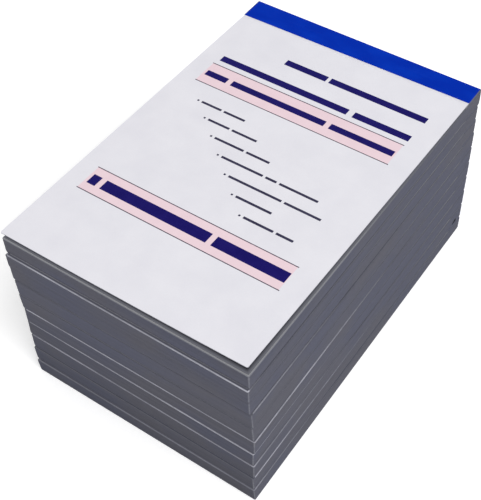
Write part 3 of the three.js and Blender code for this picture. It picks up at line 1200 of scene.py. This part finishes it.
class SheetStockMaker(NodeMaker):
    """Gives a printed surface its thickness, back and cut edges, and punches a tear-off line."""

    def __init__(self) -> None:
        """Builds the tree."""
        super().__init__(
            "sheet_stock", Material=("Back Finish", "Edge Finish"),
            Float=("Thickness", "Perforation Y", "Slot Width", "Slot Length", "Pitch", "Half Run"))
        kept = self.add("GeometryNodeDeleteGeometry", {
            "Geometry": self["Geometry"], "Selection": self._slots()}, domain="FACE")
        sunk = self.raised(kept, self["Thickness"] * -1.0)
        backed = self.dressed(sunk, "Back Finish", sunk.other("Top"))
        marked = self.store(backed, "is_edge", sunk.other("Side"), "BOOLEAN", "FACE")
        under = self.add("GeometryNodeFlipFaces", {"Mesh": marked})
        self.end(self.sealed(under, kept), Edge_Finish=self.read("is_edge", "BOOLEAN"))

    def _slots(self) -> Value:
        """Chooses the faces that lie in the slots of the tear-off line.

        Returns:
            1 on the faces to punch out.
        """
        x, y, _ = self.read("flat_place", "FLOAT_VECTOR").parts()
        on_row = abs(y - self["Perforation Y"]) < self["Slot Width"] * 0.5
        in_run = abs(x) < self["Half Run"]
        step = (x + self["Half Run"]).math("FLOORED_MODULO", self["Pitch"])
        return on_row * in_run * (step < self["Slot Length"])

    def cut(self, name: str, surface: Mesh, thickness: float, back: Material,
            edge: Material, line: Perforation = UNCUT) -> Mesh:
        """Makes a sheet of a surface.

        Args:
            name: the sheet's name.
            surface: its printed side, in millimetres.
            thickness: how thick it is.
            back: the finish of its back.
            edge: the finish of its cut edges.
            line: its tear-off line.

        Returns:
            The sheet's mesh, in millimetres.
        """
        return self.run(name, surface, {
            "Thickness": thickness, "Perforation Y": line.row_y, "Slot Width": line.slot_width,
            "Slot Length": line.slot_length, "Pitch": line.pitch, "Half Run": line.half_run,
            "Back Finish": back, "Edge Finish": edge,
        })


@dataclass(frozen=True)
class Mark:
    """A rectangle of ink: left and right from the sheet's left edge, near and far from the spine."""

    left: float
    right: float
    near: float
    far: float
    ink: Stock


def thinned(values: list[float], low: float, high: float) -> list[float]:
    """Sorts grid lines, keeps those between two limits and drops any that nearly repeat.

    Args:
        values: the wanted lines.
        low: the lowest line, always kept.
        high: the highest line, always kept.

    Returns:
        The lines in rising order.
    """
    kept = [low]
    for value in sorted(values):
        if kept[-1] + LEAST_CELL < value < high - LEAST_CELL:
            kept.append(value)
    return kept + [high]


@dataclass
class Sheet:
    """A sheet bound under the tape: a strip at one level, and a panel that steps to another.

    The strip follows the tape's skewed edge, and the panel is squared in front of it. The free end
    may spring up and spread: its right corner out to the side and its left corner out to the front.
    """

    width: float
    front_y: float
    thickness: float
    stub_top: float
    panel_top: float
    face: Material
    back: Material
    edge: Material
    shift: float
    rear_y: float = SIZES.bound_y
    ramp: float = 1.4
    squared: Pair = (1.68, 2.8)
    under_tape: float = 2.0
    rear_fade: float = 4.0
    corner_radius: float = 0.5
    spring: float = 0.0
    spread: Pair = (0.0, 0.0)
    marks: tuple[Mark, ...] = ()
    perforation: Perforation = UNCUT
    cell: float = 11.0
    ramp_steps: int = 12

    @property
    def rounds(self) -> list[float]:
        """How far in the grid's lines run that round the free corners."""
        return [self.corner_radius * (1 - math.sin(math.radians(a))) for a in (0, 22.5, 45, 67.5)]

    def columns(self) -> list[float]:
        """Lists the grid's lines across the sheet.

        Returns:
            Their places, from left to right.
        """
        half = self.width / 2
        wanted = [side * (half - r) for r in self.rounds for side in (-1, 1)]
        wanted += [x - half for mark in self.marks for x in (mark.left, mark.right)]
        wanted += self.perforation.columns()
        wanted += [i * self.cell - half for i in range(1, int(self.width / self.cell))]
        return thinned(wanted, -half, half)

    def rows(self) -> list[float]:
        """Lists the grid's lines along the sheet, close together where it bends.

        Returns:
            Their places, from the free end to the spine.
        """
        wanted = [self.front_y + r for r in self.rounds]
        wanted += [SIZES.spine_y - y for mark in self.marks for y in (mark.near, mark.far)]
        wanted += self.perforation.rows()
        wanted += [SIZES.crease_y - i * self.ramp / self.ramp_steps for i in range(-2, self.ramp_steps + 3)]
        cells = int((self.rear_y - self.front_y) / self.cell)
        wanted += [self.front_y + i * self.cell for i in range(1, cells)]
        return thinned(wanted, self.front_y, self.rear_y)

    def settle(self, x: float, y: float) -> Vector:
        """Places a point of the flat sheet in the closed book.

        Args:
            x: the point's distance to the right of the middle.
            y: its distance towards the spine from the middle of the leaves.

        Returns:
            Its place in the book's own frame.
        """
        ahead = SIZES.crease_y - y
        start, stop = self.squared
        follow = 1 - smooth((ahead - start) / (stop - start))
        if ahead <= -self.under_tape:
            follow = smooth((self.rear_y - y) / self.rear_fade)
        share = clamp(ahead / (SIZES.crease_y - self.front_y))
        level = self.stub_top + (self.panel_top - self.stub_top) * smooth(ahead / self.ramp)
        right = x / self.width + 0.5
        x, y = self._rounded(x, y)
        aside = (self.shift + self.spread[0] * right) * share
        out = self.spread[1] * (1 - right ** 2) * share ** 4
        return Vector((x + aside, y + x * SIZES.skew * follow - out, level + self.spring * share ** 2))

    def _rounded(self, x: float, y: float) -> Pair:
        """Draws a point near a free corner in to the corner's arc.

        Args:
            x: the point's distance to the right of the middle.
            y: its distance towards the spine from the middle of the leaves.

        Returns:
            Both distances, drawn in.
        """
        inner_x = self.width / 2 - self.corner_radius
        inner_y = self.front_y + self.corner_radius
        over_x, over_y = abs(x) - inner_x, inner_y - y
        if over_x <= 0 or over_y <= 0:
            return x, y
        scale = max(over_x, over_y) / math.hypot(over_x, over_y)
        return math.copysign(inner_x + over_x * scale, x), inner_y - over_y * scale

    def finish_at(self, x: float, y: float) -> Material:
        """Finds the ink at a point of the flat sheet, or the bare face; the last mark is on top.

        Args:
            x: the point's distance to the right of the middle.
            y: its distance towards the spine from the middle of the leaves.

        Returns:
            The finish.
        """
        across, down = x + self.width / 2, SIZES.spine_y - y
        for mark in reversed(self.marks):
            if mark.left < across < mark.right and mark.near < down < mark.far:
                return mark.ink.material
        return self.face

    def surface(self, name: str) -> Mesh:
        """Builds the printed surface as a grid with a line at every edge of ink.

        Args:
            name: the mesh's name.

        Returns:
            The surface in the book's own millimetres.
        """
        columns, rows = self.columns(), self.rows()
        finishes = [self.finish_at((left + right) / 2, (near + far) / 2)
                    for near, far in pairwise(rows) for left, right in pairwise(columns)]
        used = list(dict.fromkeys([self.face, *finishes]))
        spots = [self.settle(x, y) for y in rows for x in columns]
        mesh = new_mesh(name, spots, quads(len(rows), len(columns)), *used)
        mesh.polygons.foreach_set("material_index", [used.index(finish) for finish in finishes])
        keep_flat_place(mesh, [(x, y, 0.0) for y in rows for x in columns])
        return mesh

    def build(self, maker: SheetStockMaker, place: BookPlace, piece: str, slot: str, *nodes: str) -> Piece:
        """Builds the finished sheet in its book.

        Args:
            maker: the tree that thickens and perforates it.
            place: the book's place.
            piece: the sheet's name within the book.
            slot: the name of a material slot, passed on.
            nodes: the CAD nodes that it stands for.

        Returns:
            The sheet's object, which rides on nothing yet.
        """
        name = place.name(piece)
        mesh = maker.cut(name, self.surface(name), self.thickness, self.back, self.edge, self.perforation)
        return place.put(piece, mesh, place.matrix, slot, *nodes)


@dataclass(frozen=True)
class CoverPrint:
    """The cover's printing: two pale pink bars between rules, navy bars and a staircase of thin ones.

    A row of plain bars is its left end, their widths, the gap between them, its distance from the
    spine and the bars' height.
    """

    pink: Pair = (6.6, 80.4)
    pink_rows: tuple[Pair, ...] = ((37.5, 47.7), (97.9, 108.1))
    rule: float = 0.34
    rule_past: Pair = (0.2, 0.3)
    navy_rows: tuple = (
        (27.0, (16.4, 36.5), 1.2, 23.7, 2.7), (7.5, (50.2, 20.8), 2.2, 33.9, 2.8),
        (7.4, (8.6, 36.6, 23.4), 1.9, 42.7, 2.6), (7.6, (3.2, 40.0, 25.6), 1.9, 103.0, 4.1),
    )
    first_step: Pair = (13.7, 55.7)
    next_step: Pair = (6.85, 5.82)
    dot: float = 0.7
    thin_from: float = 1.4
    thin_gap: float = 1.0
    thin_height: float = 0.95
    step_bars: tuple[tuple[float, ...], ...] = (
        (7.9, 8.3), (8.4, 9.6), (11.2, 8.8), (15.6, 4.1, 14.0), (19.5, 13.0), (13.0,), (10.7, 6.0),
    )

    @staticmethod
    def bars(ink: Stock, left: float, widths: tuple[float, ...], gap: float, middle: float,
             height: float) -> list[Mark]:
        """Lays out a row of plain bars.

        Args:
            ink: the bars' ink.
            left: where the first one starts.
            widths: their widths.
            gap: the space between two.
            middle: the row's distance from the spine.
            height: the bars' height.

        Returns:
            The bars.
        """
        marks = []
        for width in widths:
            marks.append(Mark(left, left + width, middle - height / 2, middle + height / 2, ink))
            left += width + gap
        return marks

    def marks(self) -> tuple[Mark, ...]:
        """Lists every mark, in the order in which they are laid down.

        Returns:
            The marks.
        """
        marks: list[Mark] = []
        (left, right), (before, after) = self.pink, self.rule_past
        for row in self.pink_rows:
            marks.append(Mark(left, right, *row, Stock.PINK))
            for y in row:
                width = right + after - (left - before)
                marks += self.bars(Stock.RULE, left - before, (width,), 0.0, y, self.rule)
        for row in self.navy_rows:
            marks += self.bars(Stock.NAVY, *row)
        for number, widths in enumerate(self.step_bars):
            x, y = (first + number * step for first, step in zip(self.first_step, self.next_step))
            marks += self.bars(Stock.BLACK, x - self.dot / 2, (self.dot,), 0.0, y, self.dot)
            marks += self.bars(Stock.BLACK, x + self.thin_from, widths, self.thin_gap, y, self.thin_height)
        return tuple(marks)


@dataclass(frozen=True)
class FormRuling:
    """The ruling of a form: a head with three fields, a column table and a foot, all bare."""

    left: float = 6.0
    right: float = 83.0
    line: float = 0.22
    heavy: float = 0.4
    head_rows: tuple[float, ...] = (24.0, 31.0, 38.0)
    table: Pair = (44.0, 122.0)
    row_pitch: float = 6.0
    column_lines: tuple[float, ...] = (15.0, 60.0, 72.0)

    def _across(self, rows: list[float], weight: float) -> list[Mark]:
        """Rules lines across the form."""
        return [Mark(self.left, self.right, y - weight / 2, y + weight / 2, Stock.FORM_LINE) for y in rows]

    def _down(self, columns: list[float], weight: float) -> list[Mark]:
        """Rules lines down the form's table."""
        return [Mark(x - weight / 2, x + weight / 2, *self.table, Stock.FORM_LINE) for x in columns]

    def marks(self) -> tuple[Mark, ...]:
        """Lists the form's lines.

        Returns:
            The lines.
        """
        top, foot = self.table
        steps = int((foot - top) / self.row_pitch)
        rows = [*self.head_rows, *(top + i * self.row_pitch for i in range(1, steps))]
        return (*self._across(rows, self.line), *self._across([top, foot], self.heavy),
                *self._down(self.column_lines, self.line), *self._down([self.left, self.right], self.heavy))


@dataclass
class Cover:
    """A book's card cover, in one sheet from under the tape to its free edge.

    A cover whose free end is painted grey lies flush with its leaves; the others stop short of them.
    The top book's springs up and spreads a little.
    """

    place: BookPlace
    maker: SheetStockMaker
    flush_below: float = 0.2
    spring: float = 0.4
    spread: Pair = (0.45, 0.85)
    bend: float = 1.2

    def build(self) -> Piece:
        """Builds the cover and lets it move with its book; the top book's is baked in place and rides on no
        body.

        Returns:
            The cover.
        """
        place, rims = self.place, CoverRims[self.place.body.upper()]
        flush = rims.value.end <= self.flush_below
        front_y = SIZES.free_y + SIZES.air if flush else place.cover_front_y
        inset = (SIZES.cover_trim, front_y - SIZES.free_y)
        sheet = Sheet(
            width=SIZES.leaf_width - 2 * SIZES.cover_trim, front_y=front_y, thickness=SIZES.cover_thickness,
            stub_top=place.thickness - SIZES.tape_thickness - SIZES.air, panel_top=place.thickness,
            face=rims.face(inset), back=Stock.CARD_BACK.material, edge=rims.edge(inset),
            shift=place.cover_shift, rear_y=SIZES.bound_y - SIZES.wrap_radius, marks=CoverPrint().marks(),
        )
        if not place.opens:
            cover = sheet.build(self.maker, place, "card_cover", "cover_card", "front_cover")
            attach(cover, place.body)
            return cover
        sheet.spring, sheet.spread = self.spring, self.spread
        cover = sheet.build(self.maker, place, "card_cover", "cover_card", "front_cover", "cover_stub")
        place.turn_on_crease(cover, "top_cover", self.bend)
        return cover


@dataclass
class LeafPad:
    """The bound leaves of a book, each a thin sheet of its own."""

    place: BookPlace
    maker: LeafPadMaker
    corner_radius: float = 0.3
    fill: float = 0.97
    slip: float = 0.04
    ripple: float = 0.04
    steps: int = 12
    end_steps: int = 9

    def blank(self) -> Mesh:
        """Builds one flat leaf as a single face with rounded free corners.

        Returns:
            The leaf's face.
        """
        half, radius = SIZES.leaf_width / 2, self.corner_radius
        foot = SIZES.free_y + radius
        left = [arc_point(radius - half, foot, radius, a) for a in (180, 210, 240, 270)]
        end = [(i * SIZES.leaf_width / self.end_steps - half, SIZES.free_y) for i in range(1, self.end_steps)]
        right = [arc_point(half - radius, foot, radius, a) for a in (270, 300, 330, 360)]
        length = SIZES.bound_y - SIZES.free_y
        rises = [SIZES.free_y + i * length / self.steps for i in range(1, self.steps + 1)]
        outline = [*left, *end, *right, *((half, y) for y in rises), *((-half, y) for y in reversed(rises))]
        return new_mesh(self.place.name("leaf_blank"), [(x, y, 0.0) for x, y in outline],
                        [tuple(range(len(outline)))])

    def build(self) -> Piece:
        """Stacks the leaves between the board and the cover, less the top book's four ruled ones.

        Returns:
            The pad.
        """
        place = self.place
        loose = len(Ply) - 1 if place.opens else 0
        count = SIZES.leaf_count - loose
        foot = SIZES.board_thickness + SIZES.air
        pitch = (place.leaves_top - foot) / count
        mesh = self.maker.run(place.name("leaf_pad"), self.blank(), {
            "Leaf Count": count - (1 if place.opens else 0),
            "Pitch": pitch, "Leaf Thickness": pitch * self.fill,
            "Half Length": SIZES.leaf_length / 2, "Lean X": place.lean[0], "Lean Y": place.lean[1],
            "Slip": self.slip, "Ripple": self.ripple,
            "Rear Rise": max(place.bound_top - place.leaves_top - loose * pitch, 0.0), "Seed": place.number,
            "Face Finish": Stock.PAD_LEAF.material, "Edge Finish": Stock.LEAF_EDGES.material,
        })
        mesh.transform(Matrix.Translation((0, 0, foot)))
        pad = place.put("leaf_pad", mesh, place.matrix, "leaf_edges", "leaves")
        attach(pad, place.body)
        return pad


@dataclass
class SpineTape:
    """The tape round a spine: rounded folds, a skewed front edge and the staples' faint relief.

    The flange's stations are shares of its depth, close together over the staples.
    """

    place: BookPlace
    relief: float
    fold_steps: int = 8
    sections: int = 60
    staple_reach: float = 0.9
    flange: tuple[float, ...] = (1.0, 0.97, 0.75, *(0.5 + 0.02 * i for i in range(4, -9, -1)), 0.2)
    sharp_degrees: float = 40.0

    def lift(self, x: float, y: float) -> float:
        """Says how far a staple's crown raises the tape at a point.

        Args:
            x: the point's distance to the right of the middle.
            y: its distance towards the spine from the middle of the leaves.

        Returns:
            The rise.
        """
        off_x = abs(abs(x) - SIZES.staple_spacing / 2) - SIZES.staple_crown / 2
        off_y = abs(y - (SIZES.spine_y - SIZES.staple_from_spine))
        return self.relief * smooth(1 - math.hypot(max(off_x, 0.0), off_y) / self.staple_reach)

    def profile(self) -> list[Triple]:
        """Lists the tape's middle line as y, z and the direction out of the book, as an angle.

        Returns:
            The line's points, from the cover round the spine to the board.
        """
        top, wrap, half = self.place.thickness, SIZES.wrap_radius, SIZES.tape_thickness / 2
        inner, depth = SIZES.spine_y - wrap, SIZES.tape_depth - wrap
        line = [(inner - share * depth, top - half, 90.0) for share in self.flange]
        for level, start in ((top - wrap, 90.0), (wrap, 0.0)):
            for i in range(self.fold_steps + 1):
                angle = start - 90.0 * i / self.fold_steps
                line.append((*arc_point(inner, level, wrap - half, angle), angle))
        return line + [(inner - share * depth, half, -90.0) for share in reversed(self.flange)]

    def section(self, x: float, line: list[Triple]) -> list[Vector]:
        """Cuts the tape across.

        Args:
            x: where the cut lies across the book.
            line: the tape's profile.

        Returns:
            The ring of points, out along the outer face and back along the inner one.
        """
        outer, inner = [], []
        half = SIZES.tape_thickness / 2
        for y, z, angle in line:
            out = Vector((0.0, *arc_point(0.0, 0.0, 1.0, angle)))
            share = clamp((SIZES.spine_y - SIZES.wrap_radius - y) / (SIZES.tape_depth - SIZES.wrap_radius))
            spot = Vector((x, y + x * SIZES.skew * share, z))
            outer.append(spot + out * (half + (self.lift(x, spot.y) if angle == 90.0 else 0.0)))
            inner.append(spot - out * half)
        return outer + inner[::-1]

    def build(self) -> Piece:
        """Builds the tape and lets it move with its book.

        Returns:
            The tape.
        """
        line = self.profile()
        width = SIZES.leaf_width - 2 * SIZES.tape_inset
        places = [width * k / self.sections - width / 2 for k in range(self.sections + 1)]
        points = [spot for x in places for spot in self.section(x, line)]
        ring = len(line) * 2
        faces = quads(len(places), ring, closed=True)
        for base, way in ((0, -1), (self.sections * ring, 1)):
            faces += [(base + i, base + i + 1, base + ring - 2 - i, base + ring - 1 - i)[::way]
                      for i in range(len(line) - 1)]
        mesh = new_mesh(self.place.name("cloth_tape"), points, faces, Stock.TAPE.material)
        keep_flat_place(mesh, points)
        mesh.polygons.foreach_set("use_smooth", [True] * len(faces))
        mesh.set_sharp_from_angle(angle=math.radians(self.sharp_degrees))
        tape = self.place.put("cloth_tape", mesh, self.place.matrix, "binding_tape", "spine_tape")
        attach(tape, self.place.body)
        return tape


@dataclass
class Staple:
    """One clinched wire staple: a crown under the tape, two legs and points folded under the board."""

    place: BookPlace
    hand: str
    wire: float = 0.45
    clinch: float = 3.4
    bend: float = 0.55
    bend_steps: int = 5
    facets: int = 10
    tip: float = 0.45

    def path(self) -> list[Triple]:
        """Lists the wire's middle line as x, z and heading in degrees, from point to point.

        Returns:
            The line's points.
        """
        foot = SIZES.tape_thickness + SIZES.air + self.wire / 2
        top, half = self.place.thickness - foot, SIZES.staple_crown / 2
        point = half - self.clinch
        line = [(point - self.wire * self.tip, foot, 0.0), (point, foot, 0.0)]
        corners = ((half, foot, 0.0), (half, top, 90.0), (-half, top, 180.0), (-half, foot, 270.0))
        for x, z, heading in corners:
            sine, cosine = math.sin(math.radians(heading)), math.cos(math.radians(heading))
            middle = (x - self.bend * (cosine + sine), z + self.bend * (cosine - sine))
            for i in range(self.bend_steps + 1):
                angle = heading + 90.0 * i / self.bend_steps
                line.append((*arc_point(*middle, self.bend, angle - 90.0), angle))
        return line + [(-point, foot, 360.0), (self.wire * self.tip - point, foot, 360.0)]

    def build(self) -> Piece:
        """Sweeps the wire along its path, with bevelled points, and lets it move with its book.

        Returns:
            The wire.
        """
        line, count = self.path(), self.facets
        side = 1 if self.hand == "right" else -1
        centre = Vector((side * SIZES.staple_spacing / 2, SIZES.spine_y - SIZES.staple_from_spine, 0.0))
        points = []
        for k, (x, z, heading) in enumerate(line):
            radius = self.wire / 2 * (self.tip if k in (0, len(line) - 1) else 1.0)
            turn = math.radians(heading)
            out = Vector((math.sin(turn), 0.0, -math.cos(turn)))
            for i in range(count):
                along, beside = arc_point(0.0, 0.0, radius, 360.0 * i / count)
                points.append(centre + Vector((x, beside, z)) + out * along)
        last = (len(line) - 1) * count
        faces = quads(len(line), count, closed=True)
        faces += [tuple(range(count))[::-1], tuple(range(last, last + count))]
        piece = f"staple_wire_{self.hand}"
        mesh = new_mesh(self.place.name(piece), points, faces, Stock.WIRE.material)
        mesh.polygons.foreach_set("use_smooth", [len(face) == 4 for face in faces])
        node = f"staple_{self.hand}" if self.place.opens else "leaves"
        wire = self.place.put(piece, mesh, self.place.matrix, "staple_wire", node)
        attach(wire, self.place.body)
        return wire


@dataclass
class CarbonSheets:
    """The loose carbons behind a cover, each coated underneath."""

    place: BookPlace
    maker: SheetStockMaker
    steps: int = 8
    fill: float = 0.9

    def build(self) -> list[Piece]:
        """Builds the carbons: the top book's over a CAD solid each, the others in layers of one.

        Returns:
            The three sheets.
        """
        made = []
        for number in range(1, CARBONS + 1):
            if self.place.opens:
                sheet = self._sheet(number, f"carbon_sheet_{number}", 0, 1)
                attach(sheet, f"carbon_{number}")
            else:
                sheet = self._sheet(number, "carbon_sheets", number - 1, CARBONS)
                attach(sheet, self.place.body)
            made.append(sheet)
        return made

    def _sheet(self, number: int, node: str, layer: int, layers: int) -> Piece:
        """Builds a carbon over a layer of a CAD solid.

        Args:
            number: the carbon's number in its book.
            node: the solid's name within the book.
            layer: which of its equal layers the carbon fills, from 0 at the top.
            layers: how many there are.

        Returns:
            The sheet, which rides on nothing yet.
        """
        points = [v.co / MM for v in self.place.nodes[self.place.name(node)].data.vertices]
        low, high = self.place.levels(node)
        depth = (high - low) / layers
        corners = [corner_of(points, *way) for way in ((-1, -1), (1, -1), (1, 1), (-1, 1))]
        shares = [i / self.steps for i in range(self.steps + 1)]
        grid = []
        for j in shares:
            left, right = corners[0].lerp(corners[3], j), corners[1].lerp(corners[2], j)
            grid += [(*left.lerp(right, i).xy, high - layer * depth) for i in shares]
        piece = f"carbon_{number}"
        name = self.place.name(piece)
        surface = new_mesh(name, grid, quads(len(shares), len(shares)), Stock.CARBON_BACK.material)
        own = self.place.matrix.inverted()
        keep_flat_place(surface, [own @ (Vector(spot) * MM) for spot in grid])
        coat = Stock.CARBON_COAT.material
        mesh = self.maker.cut(name, surface, depth * (self.fill if layers > 1 else 1.0), coat, coat)
        return self.place.put(piece, mesh, Matrix.Scale(MM, 4), "carbon_paper", node)


class Ply(Enum):
    """The leaves of the first form, from the top, and the next form's first: body, stock and slot."""

    ORIGINAL = ("original", Stock.WHITE_LEAF, "white_leaf")
    DUPLICATE = ("duplicate", Stock.YELLOW_LEAF, "yellow_leaf")
    TRIPLICATE = ("triplicate", Stock.PINK_LEAF, "pink_leaf")
    NEXT = ("next", Stock.WHITE_LEAF, "white_leaf")


@dataclass
class FormLeaf:
    """One perforated leaf of the top book's first form, bound under the tape."""

    place: BookPlace
    maker: SheetStockMaker
    ply: Ply
    order: int
    bend: float = 1.6
    pile_up: float = 1.02

    def build(self) -> Piece:
        """Builds the leaf at its CAD solid's level; the next form's moves with its book, and those of the
        first form ride on no body.

        Returns:
            The leaf.
        """
        place, (body, stock, slot) = self.place, self.ply.value
        turns = self.ply is not Ply.NEXT
        node = f"{body}_leaf" if turns else "leaves"
        low, high = place.levels(node)
        thickness = high - low if turns else SIZES.leaf_thickness
        paper = stock.material
        sheet = Sheet(
            width=SIZES.leaf_width, front_y=SIZES.free_y - place.lean[1], thickness=thickness,
            stub_top=place.bound_top - self.order * thickness * self.pile_up,
            panel_top=high - place.origin.z if turns else place.leaves_top,
            face=paper, back=paper, edge=paper, shift=place.lean[0], ramp=1.0, corner_radius=0.3,
            marks=FormRuling().marks(), perforation=Perforation(),
        )
        leaf = sheet.build(self.maker, place, f"{body}_form", slot, node)
        if turns:
            place.turn_on_crease(leaf, body, self.bend)
        else:
            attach(leaf, place.body)
        return leaf


@dataclass(frozen=True)
class Studio:
    """The floor, light, background and camera.

    A lamp is its name, its place in millimetres, its side in metres and its power in watts.
    """

    eye: Triple = (139.24, -197.05, 307.0)
    look: Triple = (0.48, -9.65, 33.9)
    roll_degrees: float = -2.36
    focal_pixels: float = 1079.0
    image_width: int = 481
    sensor_mm: float = 36.0
    clip: Pair = (0.01, 20.0)
    floor_half: float = 3.0
    sky: float = 0.5
    lamps: tuple = (
        ("key_softbox", (1400.0, -520.0, 2040.0), 1.8, 43.6),
        ("front_fill", (-200.0, -1100.0, 800.0), 1.0, 1.0),
    )
    middle: Triple = (0.0, 0.0, 30.0)

    @staticmethod
    def aimed(data: bpy.types.ID, place: Triple, target: Triple, roll: float = 0.0) -> Piece:
        """Stands a lamp or camera at a place and turns it to a target.

        Args:
            data: the lamp's or camera's data.
            place: where it stands, in millimetres.
            target: what it faces, in millimetres.
            roll: its turn about its own axis, in degrees.

        Returns:
            The lamp or camera.
        """
        made = new_object(data.name, data)
        turned = (Vector(target) - Vector(place)).to_track_quat("-Z", "Y").to_matrix().to_4x4()
        stood = Matrix.Translation(Vector(place) * MM)
        made.matrix_world = stood @ turned @ Matrix.Rotation(math.radians(roll), 4, "Z")
        return made

    def camera(self) -> None:
        """Places the camera at the photograph's angle."""
        data = bpy.data.cameras.new("product_camera")
        data.sensor_fit = "HORIZONTAL"
        data.sensor_width = self.sensor_mm
        data.lens = self.focal_pixels * self.sensor_mm / self.image_width
        data.clip_start, data.clip_end = self.clip
        bpy.context.scene.camera = self.aimed(data, self.eye, self.look, self.roll_degrees)

    def lights(self) -> None:
        """Hangs a large square key light high on the right and a weak fill in front."""
        for name, place, width, watts in self.lamps:
            data = bpy.data.lights.new(name, "AREA")
            data.shape = "SQUARE"
            data.size = width
            data.energy = watts
            self.aimed(data, place, self.middle)

    def background(self) -> None:
        """Lights the pile from a plain sky that looks white to the camera and in reflections."""
        world = bpy.data.worlds.new("studio_sky")
        bpy.context.scene.world = world
        world.use_nodes = True
        graph = Graph(world.node_tree)
        path = graph.add("ShaderNodeLightPath", output="Is Camera Ray")
        seen = path.math("MAXIMUM", path.other("Is Glossy Ray"))
        seen = seen.math("MAXIMUM", path.other("Is Transmission Ray"))
        shader = world.node_tree.nodes["Background"]
        shader.inputs["Color"].default_value = (1.0, 1.0, 1.0, 1.0)
        graph.give(shader.inputs["Strength"], seen.remap(0.0, 1.0, self.sky, 1.0))

    def floor(self) -> None:
        """Lays a plain pale floor."""
        half = self.floor_half
        corners = [(-half, -half, 0), (half, -half, 0), (half, half, 0), (-half, half, 0)]
        mesh = new_mesh("studio_floor", corners, [(0, 1, 2, 3)], FloorFinish("pale_floor").material())
        new_object("studio_floor", mesh)

    def build(self) -> None:
        """Sets up the whole studio."""
        self.camera()
        self.lights()
        self.background()
        self.floor()
        bpy.context.scene.view_settings.view_transform = "Standard"


@dataclass
class Pile:
    """The ten books, from the top down. Relief is how far the staples raise the tape of a book."""

    nodes: dict[str, Piece]
    top_relief: float = 0.05
    relief: float = 0.01

    def dress_cad(self, name: str, stock: Stock) -> None:
        """Gives a CAD node that keeps its shape its finish.

        Args:
            name: the node's name.
            stock: its finish.
        """
        mesh = self.nodes[name].data
        mesh.materials.clear()
        mesh.materials.append(stock.material)
        LOG.info("%s keeps its CAD shape, finished as %s", name, stock.value.name)

    def build(self) -> None:
        """Builds every book's pieces and reports each."""
        pads, sheets = LeafPadMaker(), SheetStockMaker()
        for number in range(1, BOOKS + 1):
            place = BookPlace.read(number, self.nodes)
            made = [Cover(place, sheets).build(), LeafPad(place, pads).build()]
            made.append(SpineTape(place, self.top_relief if place.opens else self.relief).build())
            made += [Staple(place, hand).build() for hand in ("left", "right")]
            made += CarbonSheets(place, sheets).build()
            if place.opens:
                made += [FormLeaf(place, sheets, ply, order).build() for order, ply in enumerate(Ply)]
            self.dress_cad(place.name("back_board"), Stock.BOARD)
            for piece in made:
                LOG.info("%s: %d faces", piece.name, len(piece.data.polygons))


def main() -> None:
    """Loads the frame, builds the pile and the studio."""
    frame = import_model()
    Pile(frame["nodes"]).build()
    Studio().build()


if __name__ == "__main__":
    logging.basicConfig(level=logging.INFO, format="%(name)s: %(message)s")
    main()
